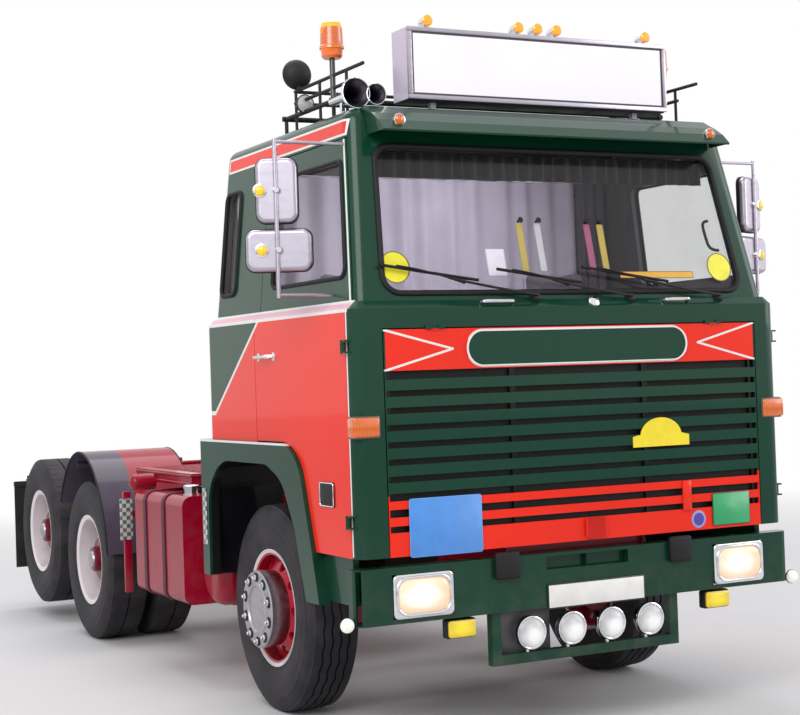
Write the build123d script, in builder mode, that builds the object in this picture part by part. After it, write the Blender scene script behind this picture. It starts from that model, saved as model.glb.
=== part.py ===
from build123d import *
import math
import os

os.makedirs("parts", exist_ok=True)

# Decorated three-axle tractor unit with a tilting sleeper cab.
# Millimetres. +Z is up, the truck faces -Y and +X is its left side.
# The origin is on the ground, under the middle of the truck's box.
# A station is a distance behind the plane of the grille and bumper.

# Layout along the truck
FACE_PROUD = 16
FRONT_OVERHANG = 1352
WHEELBASE = 3110
TAG_SPACING = 1300
REAR_OVERHANG = 700
OVERALL_LENGTH = FACE_PROUD + FRONT_OVERHANG + WHEELBASE + TAG_SPACING + REAR_OVERHANG
FACE = FACE_PROUD - OVERALL_LENGTH / 2
AXLE_FRONT = FACE + FRONT_OVERHANG
AXLE_DRIVE = AXLE_FRONT + WHEELBASE
AXLE_TAG = AXLE_DRIVE + TAG_SPACING
TAIL = AXLE_TAG + REAR_OVERHANG
FIT = 0.3
GAP = 6

# Wheels and tyres
TYRE_R = 542
TYRE_W = 290
BEAD_R = 286
BEAD_W = 236
RIM_LIP_R = 308
RIM_WALL = 9
TREAD_W = 232
FRONT_TYRE_X = 976
TWIN_OUTER_X = 1070
TWIN_SPACING = 338
TAG_LIFT = 110
FRONT_DISC_OUT = 112
HUB_R = 112
FRONT_HUB_R = 200
FRONT_HUB_OUT = 194
REAR_CAP_R = 108
DRUM_R = 205
DRUM_W = 130
HAND_HOLE_R = 26
HAND_HOLES = 10

# Steering and axles
KINGPIN_X = 812
KINGPIN_R = 24
STEER_ARM = 200
TIE_ROD_Z = 400
TIE_ROD_R = 19
SPINDLE_R = 42
KNUCKLE_FACE = 84
BEAM_Z = 470
BEAM_TOP = BEAM_Z + 42
AXLE_TUBE_R = 74
BANJO_R = 205

# Frame
RAIL_X = 400
RAIL_FLANGE = 80
RAIL_T = 9
RAIL_LOW = 800
RAIL_TOP = 1060
RAIL_FRONT = 100
TILT_STATION = 60
TILT_Z = 960
TILT_PIN_R = 15
SPRING_W = 80
SPRING_T = 62
FRONT_SPRING_X = 350
FRONT_SPRING_Z = 548
TOW_PATTERN_X = 160
TOW_PATTERN_Z = 100
TOW_HOLE_R = 10.5
REAR_SPRING_X = 450
ENGINE_HALF = 270
RADIATOR_HALF = 300

# Bumper and lamps
BUMPER_HALF = 1240
BUMPER_LOW = 608
BUMPER_TOP = 866
BUMPER_DEPTH = 92
BUMPER_T = 6
STEP_HALF = 235
STEP_LOW = 788
STEP_TOP = 850
LAMP_BAR_HALF = 535
LAMP_BAR_LOW = 356
LAMP_BAR_T = 48
HEADLAMP_X = 905
HEADLAMP_Z = 731
HEADLAMP_W = 312
HEADLAMP_H = 204
SPOT_X = (-336, -108, 120, 348)
SPOT_Z = 500
SPOT_R = 80

# Cab
CAB_HALF = 1217
CAB_LENGTH = 1930
CORNER_R = 72
NOSE_LOW = 912
LEDGE_Z = 2086
LEDGE = 36
LAND = 3
BELT_Z = LEDGE_Z - LEDGE
SCREEN_LOW_Z = 2120
SCREEN_TOP_Z = 2830
ROOF_SEAM_Z = 2872
ROOF_TOP_Z = 3016
ROOF_HALF = 1082
ROOF_FRONT = 262
ROOF_REAR = 1868
WALL = 42
FLOOR_Z = 1372
FLOOR_T = 26
FOOTWELL_Z = 1000
FOOTWELL_END = 610
TUNNEL_HALF = 430
TUNNEL_TOP = 1640
TUNNEL_T = 20
FIREWALL = 132
SCREEN_HALF_LOW = 1034
SCREEN_HALF_TOP = 975
SCREEN_R = 85
GLASS_T = 6
GLASS_IN = 16

# Inside the cab
WHEEL_X = 640
WHEEL_STATION = 620
WHEEL_Z = 2040
WHEEL_R = 255
HUB_DEPTH = 40
COLUMN_TILT = 25
COLUMN_LENGTH = 620

# Doors
DOOR_FRONT = 84
DOOR_REAR = 1200
DOOR_TOP = ROOF_SEAM_Z - GAP
WINDOW_LOW = 2205
WINDOW_TOP = 2765
WINDOW_FRONT = 165
WINDOW_REAR = 1062
QUARTER_STATION = 1689
QUARTER_LENGTH = 218
SCREEN_SLOPE = (ROOF_FRONT - LEDGE - LAND) / (ROOF_TOP_Z - LEDGE_Z)
SIDE_SLOPE = (CAB_HALF - LEDGE - LAND - ROOF_HALF) / (ROOF_TOP_Z - LEDGE_Z)
HINGE_X = CAB_HALF + 18
HINGE_STATION = DOOR_FRONT - 6
HINGE_HEIGHTS = (1080, 1880)
HINGE_EYE_R = 13
HINGE_PIN_R = 6
HINGE_H = 44
MIRROR_STATIONS = {"right": 285, "left": 430}
MIRROR_TURN = 25
MIRROR_ARM_X = 1452
MIRROR_ARM_R = 10
MIRROR_LOW = 2130
MIRROR_HIGH = 2840
MIRROR_DEPTH = 46

# Wheel arch
ARCH_TOP = 1424
ARCH_OPEN_TOP = 1314
ARCH_X_OUT = 1238
ARCH_X_IN = 1176
LINER_IN = 790
LINER_T = 6
LINER_REAR = 1986
ARCH_REAR = 2012
ARCH_SHOULDER = ((800, ARCH_TOP), (634, 1341))
ARCH_ROUND = 240
OPENING_ROUND = 240

# Front hatch with the grille
HATCH_HALF = 1064
HATCH_TOP = 1952
HATCH_T = 30
HATCH_HINGES = (-800, 800)
HATCH_PIN_STATION = -6
HATCH_PIN_Z = HATCH_TOP + 3
HATCH_PIN_R = 2.5
HATCH_EYE_R = 5
BAND_LOW = 1762
PILL_HALF = 636
PILL_H = 188
SLAT_TOP = 1722
SLAT_PITCH = 78.5
SLAT_COUNT = 7
SLAT_H = 50
SLAT_DEPTH = 30
SLAT_T = 5
POST_FRONT = 18

# Rear of the truck
TANK_FRONT = 2452
TANK_LENGTH = 900
TANK_OUT = 1205
TANK_W = 560
TANK_LOW = 440
TANK_TOP = 1075
DECK_FRONT = 2710
DECK_LENGTH = 1080
DECK_Z = 1190
DECK_T = 75
DECK_HALF = 1050
AIR_TANK_R = 186
AIR_TANK_STATION = 2230
AIR_TANK_Z = 640
FIFTH_PLATE_Z = 1250
FIFTH_PLATE_T = 34
FIFTH_HALF = 430
FIFTH_LENGTH = 860
FIFTH_FORWARD = 350
KINGPIN_BORE_R = 26
GUARD_IN = 600
GUARD_OUT = 1236
GUARD_T = 6
GUARD_HALF = 600
GUARD_RISE = 745
GUARD_SET = 30
GUARD_FRONT_Z = 620
GUARD_REAR_Z = 900
GUARD_STAY_R = 18
FLAP_LOW = 320
FLAP_TOP = 1000
FLAP_W = 646

# Roof
VISOR_HALF = 1000
SIGN_HALF = 762
SIGN_LOW = 3085
SIGN_TOP = 3435
SIGN_DEPTH = 170
SIGN_STATION = 330
SIGN_X = 45
RACK_HALF = 980
RACK_STATIONS = (640, 1240)
RACK_Z = 3110
RACK_R = 14
BEACON_LOW = 3318
BEACON_TOP = 3505
BEACON_R = 62
LAMP_ROW = (-634, -112, 0, 114, 664)
LAMP_R = 29
HORN_X = -1005
HORN_STATION = 325
HORN_Z = 3095


def y_at(station):
    """Y of a station behind the grille plane."""
    return FACE + station


def screen_at(z):
    """Station of the raked screen plane at height z."""
    return LEDGE + LAND + (z - LEDGE_Z) * SCREEN_SLOPE


def upper_cab(inset, radius):
    """The cab above the belt: its raked side profile crossed with its tapered front profile."""
    low = LEDGE_Z - 12 - 2 * inset
    drop = LEDGE_Z - low
    rear_slope = (CAB_LENGTH - LEDGE - LAND - ROOF_REAR) / (ROOF_TOP_Z - LEDGE_Z)
    side_view = (
        (screen_at(low), low),
        (screen_at(ROOF_TOP_Z), ROOF_TOP_Z),
        (ROOF_REAR, ROOF_TOP_Z),
        (CAB_LENGTH - LEDGE - LAND + drop * rear_slope, low),
    )
    low_half = side_at(low)
    front_view = (
        (-low_half, low),
        (low_half, low),
        (ROOF_HALF, ROOF_TOP_Z),
        (-ROOF_HALF, ROOF_TOP_Z),
    )
    with BuildPart() as block:
        with BuildSketch(Plane.YZ.offset(-CAB_HALF)):
            with BuildLine():
                Polyline(*[(y_at(s), z) for s, z in side_view], close=True)
            make_face()
            if inset:
                offset(amount=-inset, kind=Kind.INTERSECTION)
        extrude(amount=2 * CAB_HALF)
        with BuildSketch(Plane.XZ.offset(-y_at(0))):
            with BuildLine():
                Polyline(*front_view, close=True)
            make_face()
            if inset:
                offset(amount=-inset, kind=Kind.INTERSECTION)
        extrude(amount=-CAB_LENGTH, mode=Mode.INTERSECT)
        if radius:
            upright = block.edges().filter_by(lambda edge: abs(edge.tangent_at(0.5).Z) > 0.3)
            top = block.edges().group_by(Axis.Z)[-1]
            fillet(upright + top, radius)
    return block.part


def cab_block(inset, radius=0):
    """The whole cab as one solid, drawn in by inset, with the ledge under its windows."""
    floor = NOSE_LOW - inset
    with BuildPart() as block:
        with BuildSketch(Plane.XY.offset(floor)):
            with Locations((0, y_at(CAB_LENGTH / 2))):
                RectangleRounded(2 * (CAB_HALF - inset), CAB_LENGTH - 2 * inset, CORNER_R - inset / 2)
        extrude(amount=LEDGE_Z - inset / 3 - floor)
        chamfer(block.edges().group_by(Axis.Z)[-1], LEDGE)
        add(upper_cab(inset, radius))
    return block.part


def side_prism(points, x_from, x_to, rounded=(), radius=0):
    """A side outline of (station, z) points, extruded along X. The points named in rounded get the radius."""
    with BuildPart() as prism:
        with BuildSketch(Plane.YZ.offset(x_from)) as outline:
            with BuildLine():
                Polyline(*[(y_at(s), z) for s, z in points], close=True)
            make_face()
            for s, z in rounded:
                fillet(outline.vertices().sort_by_distance((y_at(s), z))[0], radius)
        extrude(amount=x_to - x_from)
    return prism.part


def front_prism(points, s_from, s_to):
    """A front outline of (x, z) points, extruded back along Y."""
    with BuildPart() as prism:
        with BuildSketch(Plane.XZ.offset(-y_at(s_from))):
            with BuildLine():
                Polyline(*points, close=True)
            make_face()
        extrude(amount=-(s_to - s_from))
    return prism.part


def rod_across(x_from, x_to, station, z, radius):
    """A round bar along X."""
    with BuildPart() as rod:
        with BuildSketch(Plane.YZ.offset(x_from)):
            with Locations((y_at(station), z)):
                Circle(radius)
        extrude(amount=x_to - x_from)
    return rod.part


def turned_along(outline, x, station, z):
    """A round piece about an axis along Y, from (distance behind station, radius) points."""
    with BuildPart() as piece:
        with BuildSketch(Plane.YZ.offset(x)):
            with BuildLine():
                Polyline(*[(y_at(station + back), z + radius) for back, radius in outline], close=True)
            make_face()
        revolve(axis=Axis((x, y_at(station), z), (0, 1, 0)))
    return piece.part


def turned_up(outline, x, station, z):
    """A round piece about an upright axis, from (radius, height above z) points."""
    with BuildPart() as piece:
        with BuildSketch(Plane.XZ.offset(-y_at(station))):
            with BuildLine():
                Polyline(*[(x + radius, z + height) for radius, height in outline], close=True)
            make_face()
        revolve(axis=Axis((x, y_at(station), z), (0, 0, 1)))
    return piece.part


def block_at(x0, x1, s0, s1, z0, z1):
    """A plain block from its corners, with stations along the truck."""
    with BuildPart() as block:
        with BuildSketch(Plane.XY.offset(z0)):
            with Locations(((x0 + x1) / 2, y_at((s0 + s1) / 2))):
                Rectangle(abs(x1 - x0), abs(s1 - s0))
        extrude(amount=z1 - z0)
    return block.part


def column_plane(along):
    """Plane across the steering column, along millimetres above the steering wheel's face."""
    tilt = math.radians(COLUMN_TILT)
    axis = Vector(0, math.sin(tilt), math.cos(tilt))
    centre = Vector(WHEEL_X, y_at(WHEEL_STATION), WHEEL_Z) + axis * along
    return Plane(origin=centre, x_dir=(1, 0, 0), z_dir=axis)


def side_at(z):
    """Half width of the cab's outer side above the belt at height z."""
    return CAB_HALF - LEDGE - LAND - (z - LEDGE_Z) * SIDE_SLOPE


def write(part, name):
    """Label a finished piece and write it."""
    part.label = name
    export_step(part, f"parts/{name}.step")


# Cab shell, cut into its real panels
cab_outer = cab_block(0, CORNER_R)
cab_inner = cab_block(WALL)
with BuildPart() as cab_shell:
    add(cab_outer)
    add(cab_inner, mode=Mode.SUBTRACT)
    add(block_at(-CAB_HALF + WALL, CAB_HALF - WALL, WALL, CAB_LENGTH - WALL, NOSE_LOW - 5, NOSE_LOW + 60),
        mode=Mode.SUBTRACT)

A_BEHIND = DOOR_FRONT - LEDGE - LAND
front_profile = (
    (-10, NOSE_LOW - 10),
    (DOOR_FRONT - GAP, NOSE_LOW - 10),
    (DOOR_FRONT - GAP, LEDGE_Z),
    (screen_at(ROOF_SEAM_Z) + A_BEHIND - GAP, ROOF_SEAM_Z),
    (-10, ROOF_SEAM_Z),
)
screen_outline = (
    (-SCREEN_HALF_LOW, SCREEN_LOW_Z),
    (SCREEN_HALF_LOW, SCREEN_LOW_Z),
    (SCREEN_HALF_TOP, SCREEN_TOP_Z),
    (-SCREEN_HALF_TOP, SCREEN_TOP_Z),
)


def rounded_front_prism(points, inset, radius, s_from, s_to):
    """A front outline with rounded corners, drawn in by inset, extruded back."""
    with BuildPart() as prism:
        with BuildSketch(Plane.XZ.offset(-y_at(s_from))) as outline:
            with BuildLine():
                Polyline(*points, close=True)
            make_face()
            offset(amount=-inset, kind=Kind.INTERSECTION)
            fillet(outline.vertices(), radius - inset)
        extrude(amount=-(s_to - s_from))
    return prism.part


screen_hole = rounded_front_prism(screen_outline, 0, SCREEN_R, -20, 420)
hatch_hole = block_at(-HATCH_HALF - GAP, HATCH_HALF + GAP, -20, WALL + 5, NOSE_LOW - 20, HATCH_TOP + GAP)

scuttle_profile = (
    (WALL - 2, BELT_Z - 30),
    (FIREWALL, BELT_Z - 30),
    (FIREWALL, FOOTWELL_Z + FIT),
    (FIREWALL + 12, FOOTWELL_Z + FIT),
    (FIREWALL + 12, BELT_Z - 16),
    (WALL - 2, BELT_Z - 16),
)
TUNNEL_CLEAR = TUNNEL_HALF + FIT
with BuildPart() as cab_front:
    add(cab_shell.part)
    add(side_prism(front_profile, -CAB_HALF - 10, CAB_HALF + 10), mode=Mode.INTERSECT)
    add(screen_hole, mode=Mode.SUBTRACT)
    add(hatch_hole, mode=Mode.SUBTRACT)
    add(side_prism(scuttle_profile, 5 - CAB_HALF + WALL, CAB_HALF - WALL - 5))
    add(block_at(-TUNNEL_CLEAR, TUNNEL_CLEAR, FIREWALL - 5, FIREWALL + 50, NOSE_LOW, TUNNEL_TOP + FIT),
        mode=Mode.SUBTRACT)
    for side in (-1, 1):
        for z in HINGE_HEIGHTS:
            for centre in (z - HINGE_H / 2 - 5, z + HINGE_H / 2 + 5):
                with BuildSketch(Plane.XY.offset(centre - 4)):
                    with Locations((side * HINGE_X, y_at(HINGE_STATION))):
                        Circle(HINGE_EYE_R)
                    with Locations((side * (HINGE_X - 8), y_at(HINGE_STATION - 22))):
                        Rectangle(30, 34)
                extrude(amount=8)
            with BuildSketch(Plane.XY.offset(z - HINGE_H / 2 - 5)):
                with Locations((side * HINGE_X, y_at(HINGE_STATION))):
                    Circle(HINGE_PIN_R)
            extrude(amount=HINGE_H + 10)
    for x in HATCH_HINGES:
        for near in (x - 50, x + 21):
            with BuildSketch(Plane.YZ.offset(near)):
                with Locations((y_at(HATCH_PIN_STATION), HATCH_PIN_Z)):
                    Circle(HATCH_EYE_R)
                with Locations((y_at(HATCH_PIN_STATION + 5), HATCH_PIN_Z + 8)):
                    Rectangle(14, 10)
            extrude(amount=29)
        with BuildSketch(Plane.YZ.offset(x - 40)):
            with Locations((y_at(HATCH_PIN_STATION), HATCH_PIN_Z)):
                Circle(HATCH_PIN_R)
        extrude(amount=80)
write(cab_front.part, "cab_front")

with BuildPart() as roof:
    add(cab_shell.part)
    add(block_at(-1300, 1300, -50, CAB_LENGTH + 50, ROOF_SEAM_Z, ROOF_TOP_Z + 10), mode=Mode.INTERSECT)
write(roof.part, "roof")

with BuildPart() as rear_wall:
    add(cab_shell.part)
    add(block_at(-1300, 1300, CAB_LENGTH - CORNER_R - LEDGE, CAB_LENGTH + 50, ARCH_TOP + FIT, ROOF_SEAM_Z),
        mode=Mode.INTERSECT)
write(rear_wall.part, "rear_wall")

SIDE_FRONT = DOOR_REAR + GAP
with BuildPart() as cab_sides:
    add(cab_shell.part)
    add(block_at(-1300, 1300, SIDE_FRONT, CAB_LENGTH - CORNER_R - LEDGE, ARCH_TOP + FIT, ROOF_SEAM_Z),
        mode=Mode.INTERSECT)
    for side in (-1, 1):
        with BuildSketch(Plane.YZ.offset(side * 900)):
            with Locations((y_at(QUARTER_STATION), (WINDOW_LOW + WINDOW_TOP) / 2)):
                RectangleRounded(QUARTER_LENGTH, WINDOW_TOP - WINDOW_LOW, 45)
        extrude(amount=side * 400, mode=Mode.SUBTRACT)
write(cab_sides.part, "cab_sides")

# Doors
door_outline = (
    (DOOR_FRONT, NOSE_LOW),
    (DOOR_FRONT, LEDGE_Z),
    (screen_at(DOOR_TOP) + A_BEHIND, DOOR_TOP),
    (DOOR_REAR, DOOR_TOP),
    (DOOR_REAR, ARCH_TOP + GAP),
    (799, ARCH_TOP + GAP),
    (629, 1345),
    (492, NOSE_LOW),
)
window_outline = (
    (WINDOW_FRONT, WINDOW_LOW),
    (WINDOW_FRONT + (WINDOW_TOP - WINDOW_LOW) * SCREEN_SLOPE, WINDOW_TOP),
    (WINDOW_REAR, WINDOW_TOP),
    (WINDOW_REAR, WINDOW_LOW),
)


def window_prism(inset, x_from, x_to):
    """The door window's outline with rounded corners, drawn in by inset."""
    with BuildPart() as prism:
        with BuildSketch(Plane.YZ.offset(x_from)) as outline:
            with BuildLine():
                Polyline(*[(y_at(s), z) for s, z in window_outline], close=True)
            make_face()
            offset(amount=-inset, kind=Kind.INTERSECTION)
            fillet(outline.vertices(), 45)
        extrude(amount=x_to - x_from)
    return prism.part


glass_shell_outer = cab_block(GLASS_IN)
glass_shell_inner = cab_block(GLASS_IN + GLASS_T)

for side, name in ((-1, "right"), (1, "left")):
    x_near = min(side * 900, side * 1300)
    x_far = max(side * 900, side * 1300)
    with BuildPart() as door:
        add(cab_shell.part)
        add(side_prism(door_outline, x_near, x_far, door_outline[5:7], ARCH_ROUND + GAP), mode=Mode.INTERSECT)
        add(window_prism(0, x_near, x_far), mode=Mode.SUBTRACT)
        for z in HINGE_HEIGHTS:
            with BuildSketch(Plane.XY.offset(z - HINGE_H / 2)):
                with Locations((side * HINGE_X, y_at(HINGE_STATION))):
                    Circle(HINGE_EYE_R)
                with Locations((side * (HINGE_X - 6), y_at(HINGE_STATION + 30))):
                    Rectangle(26, 48)
                with Locations((side * HINGE_X, y_at(HINGE_STATION))):
                    Circle(HINGE_PIN_R + FIT, mode=Mode.SUBTRACT)
            extrude(amount=HINGE_H)
    write(door.part, f"door_{name}")
    with BuildPart() as door_glass:
        add(glass_shell_outer)
        add(glass_shell_inner, mode=Mode.SUBTRACT)
        add(window_prism(FIT, x_near, x_far), mode=Mode.INTERSECT)
    write(door_glass.part, f"door_glass_{name}")

with BuildPart() as fixed_glass:
    add(glass_shell_outer)
    add(glass_shell_inner, mode=Mode.SUBTRACT)
    add(rounded_front_prism(screen_outline, FIT, SCREEN_R, -20, 420), mode=Mode.INTERSECT)
with BuildPart() as quarter_glass:
    add(glass_shell_outer)
    add(glass_shell_inner, mode=Mode.SUBTRACT)
    with BuildSketch(Plane.YZ.offset(-1300)):
        with Locations((y_at(QUARTER_STATION), (WINDOW_LOW + WINDOW_TOP) / 2)):
            RectangleRounded(QUARTER_LENGTH - 1, WINDOW_TOP - WINDOW_LOW - 1, 44)
    extrude(amount=2600, mode=Mode.INTERSECT)
with BuildPart() as cab_glass:
    add(fixed_glass.part)
    add(quarter_glass.part)
write(cab_glass.part, "cab_glass")


# Front hatch: a frame, the name band with its raised pill, and the slats on three posts
slat_profile = (
    (0, 0),
    (0, -SLAT_H),
    (SLAT_T, -SLAT_H),
    (SLAT_T, -SLAT_T),
    (SLAT_DEPTH, -SLAT_T),
    (SLAT_DEPTH, 0),
)
with BuildPart() as front_hatch:
    add(block_at(-HATCH_HALF, HATCH_HALF, 0, SLAT_T, BAND_LOW, HATCH_TOP))
    add(block_at(-HATCH_HALF, HATCH_HALF, 0, HATCH_T, HATCH_TOP - SLAT_T, HATCH_TOP))
    for side in (-1, 1):
        edge_x = side * (HATCH_HALF - SLAT_T / 2)
        add(block_at(edge_x - SLAT_T / 2, edge_x + SLAT_T / 2, 0, HATCH_T, NOSE_LOW, HATCH_TOP))
    for post_x in (-HATCH_HALF + 20, -380, 380, HATCH_HALF - 20):
        add(block_at(post_x - 15, post_x + 15, POST_FRONT, HATCH_T, NOSE_LOW, HATCH_TOP))
    for row in range(SLAT_COUNT):
        top = SLAT_TOP - row * SLAT_PITCH
        add(side_prism([(s, top + z) for s, z in slat_profile], -HATCH_HALF, HATCH_HALF))
    for top, low in ((1166, 1128), (1092, 1052), (1022, NOSE_LOW)):
        add(block_at(-HATCH_HALF, HATCH_HALF, 0, SLAT_T, low, top))
        add(block_at(-HATCH_HALF, HATCH_HALF, 0, SLAT_DEPTH, top - SLAT_T, top))
    with BuildSketch(Plane.XZ.offset(-y_at(SLAT_T))):
        with Locations((0, (BAND_LOW + HATCH_TOP) / 2)):
            SlotOverall(2 * PILL_HALF, PILL_H - 20)
    extrude(amount=SLAT_T + 8)
    for x in HATCH_HINGES:
        with BuildSketch(Plane.YZ.offset(x - 20)):
            with Locations((y_at(HATCH_PIN_STATION), HATCH_PIN_Z)):
                Circle(HATCH_EYE_R)
            with Locations((y_at(HATCH_PIN_STATION + 4), HATCH_PIN_Z - 6)):
                Rectangle(8, 8)
            with Locations((y_at(HATCH_PIN_STATION), HATCH_PIN_Z)):
                Circle(HATCH_PIN_R + FIT, mode=Mode.SUBTRACT)
        extrude(amount=40)
write(front_hatch.part, "front_hatch")

# Cab floor with the engine tunnel and footwells
floor_profile = (
    (FIREWALL, FOOTWELL_Z),
    (FIREWALL, FOOTWELL_Z - FLOOR_T),
    (FOOTWELL_END + FLOOR_T, FOOTWELL_Z - FLOOR_T),
    (FOOTWELL_END + FLOOR_T, FLOOR_Z - FLOOR_T),
    (CAB_LENGTH - WALL - FIT, FLOOR_Z - FLOOR_T),
    (CAB_LENGTH - WALL - FIT, FLOOR_Z),
    (FOOTWELL_END, FLOOR_Z),
    (FOOTWELL_END, FOOTWELL_Z),
)
FLOOR_HALF = CAB_HALF - WALL - 8
with BuildPart() as cab_floor:
    add(side_prism(floor_profile, -FLOOR_HALF, FLOOR_HALF))
    add(block_at(-TUNNEL_HALF, TUNNEL_HALF, FIREWALL - 5, CAB_LENGTH - WALL - 40, NOSE_LOW, TUNNEL_TOP))
    tunnel_in = TUNNEL_HALF - TUNNEL_T
    add(block_at(-tunnel_in, tunnel_in, FIREWALL - 10, CAB_LENGTH - WALL - 40 - TUNNEL_T, NOSE_LOW - 5,
                 TUNNEL_TOP - TUNNEL_T), mode=Mode.SUBTRACT)
    add(block_at(-tunnel_in, tunnel_in, CAB_LENGTH - 200, CAB_LENGTH - WALL - 20, NOSE_LOW - 5, 1200),
        mode=Mode.SUBTRACT)
    for side in (-1, 1):
        lug_in = side * (TUNNEL_HALF - TUNNEL_T)
        lug_out = side * TUNNEL_HALF
        x_low = min(lug_in, lug_out)
        x_high = max(lug_in, lug_out)
        add(block_at(x_low, x_high, TILT_STATION - 26, FIREWALL, TILT_Z - 26, TILT_Z + 40))
        with BuildSketch(Plane.YZ.offset(x_low - 1)):
            with Locations((y_at(TILT_STATION), TILT_Z)):
                Circle(TILT_PIN_R + FIT)
        extrude(amount=TUNNEL_T + 2, mode=Mode.SUBTRACT)
write(cab_floor.part, "cab_floor")

# Wheel arches: flare, liner and step panel on each side
arch_outline = (
    (ARCH_REAR, 673),
    (ARCH_REAR, ARCH_TOP),
    *ARCH_SHOULDER,
    (497, 906),
    (430, 668),
)
opening_outline = (
    (ARCH_REAR - 95, 600),
    (ARCH_REAR - 105, 1150),
    (1760, 1270),
    (1640, ARCH_OPEN_TOP),
    (1050, ARCH_OPEN_TOP),
    (850, 1240),
    (704, 1013),
    (560, 600),
)
# Behind the flare the liner goes further back, because the steered tyre swings there
liner_opening = (
    (LINER_REAR, 600),
    (LINER_REAR, 820),
    (1900, 1150),
    (1760, 1270),
    (1640, ARCH_OPEN_TOP),
    (1050, ARCH_OPEN_TOP),
    (850, 1240),
    (704, 1013),
    (560, 600),
)
liner_outline = tuple((s + (LINER_T if s > 1350 else -LINER_T), z + LINER_T) for s, z in liner_opening)
wheel_arches = []
for side in (-1, 1):
    x_low = min(side * ARCH_X_IN, side * ARCH_X_OUT)
    x_high = max(side * ARCH_X_IN, side * ARCH_X_OUT)
    liner_low = min(side * LINER_IN, side * ARCH_X_IN)
    liner_high = max(side * LINER_IN, side * ARCH_X_IN)
    with BuildPart() as arch:
        add(side_prism(arch_outline, x_low, x_high, ARCH_SHOULDER, ARCH_ROUND))
        add(side_prism(opening_outline, x_low - 1, x_high + 1, opening_outline[1:-1], OPENING_ROUND),
            mode=Mode.SUBTRACT)
        with BuildPart() as liner:
            add(side_prism(liner_outline, liner_low, liner_high))
            add(side_prism(liner_opening, liner_low - 1, liner_high + 1), mode=Mode.SUBTRACT)
        add(liner.part)
        add(block_at(-1300, 1300, 0, 2100, 500, 668), mode=Mode.SUBTRACT)
        step_in = side * 1150
        add(block_at(min(step_in, side * 1180), max(step_in, side * 1180), 160, 520, 690, NOSE_LOW - GAP))
        add(block_at(min(side * 960, side * 1180), max(side * 960, side * 1180), 160, 520, 684, 700))
    wheel_arches.append(arch.part)
with BuildPart() as wheel_arch_pair:
    add(wheel_arches[0])
    add(wheel_arches[1])
write(wheel_arch_pair.part, "wheel_arches")


def turned(outline, side, centre_x, y, z):
    """A wheel piece turned about its axle from (outward, radius) points."""
    plane = Plane(origin=(0, y, z), x_dir=(1, 0, 0), z_dir=(0, 0, 1))
    with BuildPart() as piece:
        with BuildSketch(plane):
            with BuildLine():
                Polyline(*[(centre_x + side * out, radius) for out, radius in outline], close=True)
            make_face()
        revolve(axis=Axis((0, y, z), (1, 0, 0)))
    return piece.part


half_bead = BEAD_W / 2
half_tread = TREAD_W / 2
half_tyre = TYRE_W / 2
tyre_outline = (
    (-half_bead + FIT, BEAD_R + FIT),
    (-half_bead + FIT, RIM_LIP_R),
    (-half_tyre + 8, RIM_LIP_R + 40),
    (-half_tyre, (BEAD_R + TYRE_R) / 2 + 10),
    (-half_tyre + 5, TYRE_R - 62),
    (-half_tread - 4, TYRE_R - 20),
    (-half_tread + 6, TYRE_R - 4),
    (-40, TYRE_R),
    (40, TYRE_R),
    (half_tread - 6, TYRE_R - 4),
    (half_tread + 4, TYRE_R - 20),
    (half_tyre - 5, TYRE_R - 62),
    (half_tyre, (BEAD_R + TYRE_R) / 2 + 10),
    (half_tyre - 8, RIM_LIP_R + 40),
    (half_bead - FIT, RIM_LIP_R),
    (half_bead - FIT, BEAD_R + FIT),
)
barrel_outline = (
    (-half_bead, BEAD_R - RIM_WALL),
    (-half_bead - 10, RIM_LIP_R - 4),
    (-half_bead - 10, RIM_LIP_R),
    (-half_bead, RIM_LIP_R),
    (-half_bead, BEAD_R),
    (half_bead, BEAD_R),
    (half_bead, RIM_LIP_R),
    (half_bead + 10, RIM_LIP_R),
    (half_bead + 10, RIM_LIP_R - 4),
    (half_bead, BEAD_R - RIM_WALL),
)
# A disc seen in section, out from the tyre's middle: joins the barrel and carries the hub
BORE_R = SPINDLE_R + FIT


def disc_outline(face, root):
    """Section of a dished disc whose flat face lies at face and whose foot meets the barrel at root."""
    return (
        (face, BORE_R),
        (face, 190),
        (root, BEAD_R - RIM_WALL + 2),
        (root - 14, BEAD_R - RIM_WALL + 2),
        (face - 14, 184),
        (face - 14, BORE_R),
    )


def hub_outline(inner, cap, radius):
    """Hub and brake drum behind a disc, with a cap of the given radius in front of it."""
    neck = cap - 34
    return (
        (inner, BORE_R),
        (inner, DRUM_R),
        (inner + DRUM_W, DRUM_R),
        (inner + DRUM_W, HUB_R),
        (neck, HUB_R),
        (neck, radius),
        (cap - 10, radius),
        (cap, radius - 24),
        (cap, 0),
        (cap - 20, 0),
        (cap - 20, BORE_R),
    )


def write_wheel(name, side, y, z, tyre_xs, disc_places, hub):
    """One wheel body: its tyres in one node, its rims, discs and hub in another."""
    with BuildPart() as tyres:
        for tyre_x in tyre_xs:
            add(turned(tyre_outline, side, side * tyre_x, y, z))
    write(tyres.part, f"tyre_{name}")
    with BuildPart() as rims:
        for tyre_x in tyre_xs:
            add(turned(barrel_outline, side, side * tyre_x, y, z))
        for face, root, tyre_x in disc_places:
            add(turned(disc_outline(face, root), side, side * tyre_x, y, z))
            with BuildSketch(Plane.YZ.offset(side * tyre_x)):
                with Locations((y, z)):
                    with PolarLocations(228, HAND_HOLES):
                        Circle(HAND_HOLE_R)
            extrude(amount=260, both=True, mode=Mode.SUBTRACT)
        add(turned(hub_outline(*hub[:3]), side, side * hub[3], y, z))
    write(rims.part, f"rim_{name}")


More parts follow.
